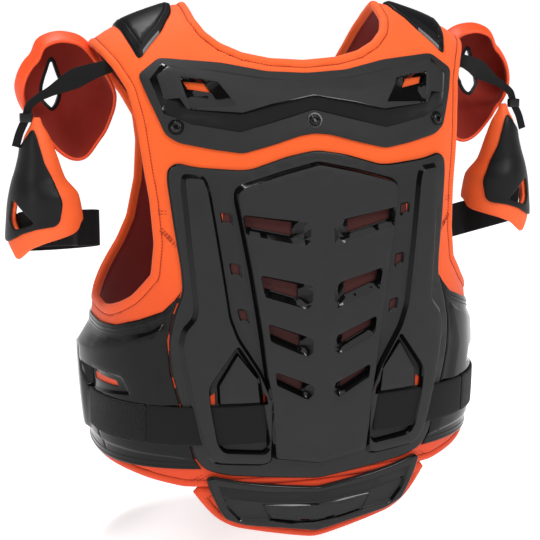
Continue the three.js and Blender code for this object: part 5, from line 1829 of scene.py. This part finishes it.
    def webbing(self) -> tuple[np.ndarray, list]:
        """Flat webbing from the armhole over the cup to the guard."""
        path = self.webbing_path()
        ahead = np.gradient(path[:, :3], axis=0)
        across = unit(np.cross(ahead, (0, -1, 0)))
        up = unit(np.cross(across, ahead))
        half = path[:, 3:4]
        rows = []
        for width, height in ((-1, 0.5), (-0.9, 0.9), (0, 0.9), (0.9, 0.9), (1, 0.5), (1, -0.5), (0.9, -0.9),
                              (0, -0.9), (-0.9, -0.9), (-1, -0.5)):
            rows.append(path[:, :3] + across * half * width + up * height)
        table = np.stack(rows, axis=1)
        count, columns = table.shape[:2]
        ends = [list(range(columns)), [(count - 1) * columns + c for c in range(columns)]]
        return table.reshape(-1, 3), [*quads(count, columns), *ends]

    def keeper(self) -> tuple[np.ndarray, list]:
        """Rounded plastic loop that the webbing passes through."""
        spot = self.webbing_path()
        knots = np.array([(self.reach + 0.395 * self.radius, -0.341 * self.radius, self.top + 0.031 * self.length)])
        near = int(np.argmin(np.linalg.norm(spot[:, :3] - knots, axis=1)))
        centre = spot[near, :3]
        outer = rounded(np.array([(-6.5, -3.6), (6.5, -3.6), (6.5, 3.6), (-6.5, 3.6)]), 2.4)
        inner = rounded(np.array([(-4.7, -1.5), (4.7, -1.5), (4.7, 1.5), (-4.7, 1.5)]), 0.6)
        count = len(outer)
        rings = []
        for outline, level in ((outer * 0.94, 4.5), (outer, 3.6), (outer, -3.6), (outer * 0.94, -4.5),
                               (inner * 1.06, -4.5), (inner, -3.8), (inner, 3.8), (inner * 1.06, 4.5)):
            rings.append(np.column_stack([outline, np.full(count, level)]) + centre)
        return np.vstack(rings), quads(len(rings), count, closed_rows=True)

    def build(self) -> None:
        """Builds everything on each arm."""
        pad, outer, inner = self.shell(-85, 105, self.pad_outline, -6, 0, 3)
        pad_points, pad_faces, _ = pad.thick(outer, inner)
        face, outer, inner = self.shell(-39, 98, self.face_outline, 0.4, 2.6, 1.6)
        face_points, face_faces, _ = face.thick(outer, inner)
        band_points, band_faces = self.loop()
        tape_points, tape_faces = self.webbing()
        keeper_points, keeper_faces = self.keeper()
        middle = (self.reach - 0.04 * self.radius, -0.15 * self.radius)
        for side, hang in self.hangs.items():
            cushion = sided(side, "arm_pad", hang.turned(pad_points, middle), pad_faces, [PAD_ORANGE],
                            "guard_pad", "bicep_pad", sharp=50)
            sided(side, "arm_face", hang.turned(face_points, middle), face_faces, [FACE_MATTE], "guard_face",
                  "bicep_guard")
            sided(side, "arm_band", hang.sloped(band_points, middle), band_faces, [TAPE], "webbing",
                  "bicep_band")
            sided(side, "cup_tape", tape_points, tape_faces, [TAPE], "webbing", "cup_strap")
            sided(side, "keeper", keeper_points, keeper_faces, [BOLT_BLACK], "webbing", "strap_keeper")


@dataclass
class ShoulderPads:
    """Satin pads on the shoulders, with a stitched line inside the edge and a grey tab."""

    outline: Pairs = field(default_factory=lambda: [
        (119, -4), (122, -22), (137, -42), (164, -57), (172, -36), (177, -8), (176, 12), (164, 45), (134, 40),
        (122, 20), (119, 4),
    ])
    tab: Pairs = field(default_factory=lambda: [(141, -40), (158, -49), (162, -60), (136, -47)])

    def above(self, x: np.ndarray, y: np.ndarray, height: np.ndarray) -> np.ndarray:
        """Points of the shoulder over given x and y, at a distance from the body."""
        base_x, base_y = np.array(x, float), np.array(y, float)
        for _ in range(4):
            low, high = np.full(len(base_x), 0.0005), np.full(len(base_x), 0.3)
            for _ in range(26):
                run = (low + high) / 2
                points = np.column_stack([base_x, base_y, TORSO.level(run)])
                outside = TORSO.excess(points, run) > 0
                low, high = np.where(outside, run, low), np.where(outside, high, run)
            normals = TORSO.normals(points, run)
            base_x = base_x + 0.8 * (x - points[:, 0] - normals[:, 0] * height)
            base_y = base_y + 0.8 * (y - points[:, 1] - normals[:, 1] * height)
        return points + normals * np.asarray(height)[:, None]

    def build(self, stitches: StitchTree) -> None:
        """Builds both pads, their tabs and stitches."""
        shape = rounded(np.array(self.outline, float), 6)
        groove = grown(shape, -6.5)
        closed = np.vstack([groove, groove[:1]])
        forms = [Form(Kind.RAISE, grown(shape, -1), 3.9, 4, base=2.2)]
        relief = Relief(shape, 2.2, 0.4, forms, self.above, 4, 1.2, [(closed, 1.3, 0.9)])
        points, faces, _ = relief.solid()
        tabbed = inside_distance(points[:, :2], np.array(self.tab, float)) > 0
        slots = [int(all(tabbed[i] for i in face)) for face in faces]
        line = densified(closed, 3, False)
        seam = self.above(line[:, 0], line[:, 1], np.full(len(line), 3.25))
        for side in Side:
            sided(side, "shoulder", points, faces, [RUBBER, EDGE_GREY], "shoulder_rubber", "shoulder_pad", slots)
        settle(stitches.sew("shoulder_stitches", [seam, other_side(seam)], 3.4, 2.3, 0.35), "shoulder_rubber")


@dataclass
class Studio:
    """Pale floor, soft lights and the camera."""

    floor_level: float = -0.551

    def lamp(self, name: str, spot: tuple[float, float, float], aim: tuple[float, float, float],
             size: tuple[float, float], power: float) -> None:
        """One soft rectangular light.

        Args:
            name: name of the light.
            spot, aim: where it stands and what it faces.
            size: width and height.
            power: watts.
        """
        data = bpy.data.lights.new(name, "AREA")
        data.shape, data.size, data.size_y, data.energy = "RECTANGLE", *size, power
        lamp = bpy.data.objects.new(name, data)
        lamp.location = spot
        lamp.rotation_euler = (Vector(aim) - Vector(spot)).to_track_quat("-Z", "Y").to_euler()
        bpy.context.scene.collection.objects.link(lamp)

    def camera(self) -> None:
        """Camera behind the back, to its left and a little above it."""
        back = Vector((-0.30227, -0.93028, 0.20791))
        right = Vector((0.95106, -0.30902, 0))
        target = Vector((0, 0, -0.268)) - right * 0.00981
        data = bpy.data.cameras.new("view")
        data.sensor_width, data.lens = 36.0, 91.74
        data.clip_end = 1000
        camera = bpy.data.objects.new("view", data)
        camera.location = target + back * 1.5
        camera.rotation_euler = (-back).to_track_quat("-Z", "Y").to_euler()
        bpy.context.scene.collection.objects.link(camera)
        bpy.context.scene.camera = camera

    def build(self) -> None:
        """Builds the floor, the lights and the camera."""
        mesh = bpy.data.meshes.new("floor")
        near, far, wide = -20.0, 400.0, 200.0
        mesh.from_pydata([(-wide, near, self.floor_level), (wide, near, self.floor_level),
                          (wide, far, self.floor_level), (-wide, far, self.floor_level)], [], [(0, 1, 2, 3)])
        mesh.materials.append(FLOOR.material())
        floor = bpy.data.objects.new("floor", mesh)
        bpy.context.scene.collection.objects.link(floor)
        world = bpy.data.worlds.new("studio")
        world.use_nodes = True
        nodes, links = world.node_tree.nodes, world.node_tree.links
        nodes["Background"].inputs["Color"].default_value = (1, 1, 1, 1)
        # White at the horizon, dimmer overhead
        way = nodes.new("ShaderNodeSeparateXYZ")
        links.new(nodes.new("ShaderNodeTexCoord").outputs["Generated"], way.inputs[0])
        fade = nodes.new("ShaderNodeMapRange")
        links.new(way.outputs["Z"], fade.inputs["Value"])
        for name, value in zip(("From Min", "From Max", "To Min", "To Max"), (0.1, 0.3, 1.0, 0.12)):
            fade.inputs[name].default_value = value
        links.new(fade.outputs[0], nodes["Background"].inputs["Strength"])
        bpy.context.scene.world = world
        bpy.context.scene.view_settings.view_transform = "Standard"
        sun = bpy.data.lights.new("sky", "SUN")
        sun.energy, sun.angle = 1.1, math.radians(50)
        sky = bpy.data.objects.new("sky", sun)
        sky.rotation_euler = Vector((0.1, -0.55, 0.83)).to_track_quat("Z", "Y").to_euler()
        bpy.context.scene.collection.objects.link(sky)
        self.lamp("key", (0.9, -1.7, 1.1), (0.02, 0, -0.15), (0.55, 0.55), 15)
        self.lamp("top", (-0.35, 0.25, 1.5), (-0.05, 0, -0.3), (1.0, 0.25), 20)
        self.lamp("card", (-1.5, -1.1, 0.35), (0, 0, -0.35), (0.1, 0.9), 5)
        self.camera()


def main() -> None:
    """Builds the pieces in order, then the studio."""
    logging.basicConfig(level=logging.INFO, format="%(message)s")
    stitches = StitchTree(STITCH_RED)
    dark = StitchTree(TAPE)
    Vest().build(stitches)
    BackPlates().build()
    Waist().build(dark)
    ShoulderPads().build(dark)
    ShoulderCup().build()
    ArmGuard().build()
    Studio().build()


if __name__ == "__main__":
    main()
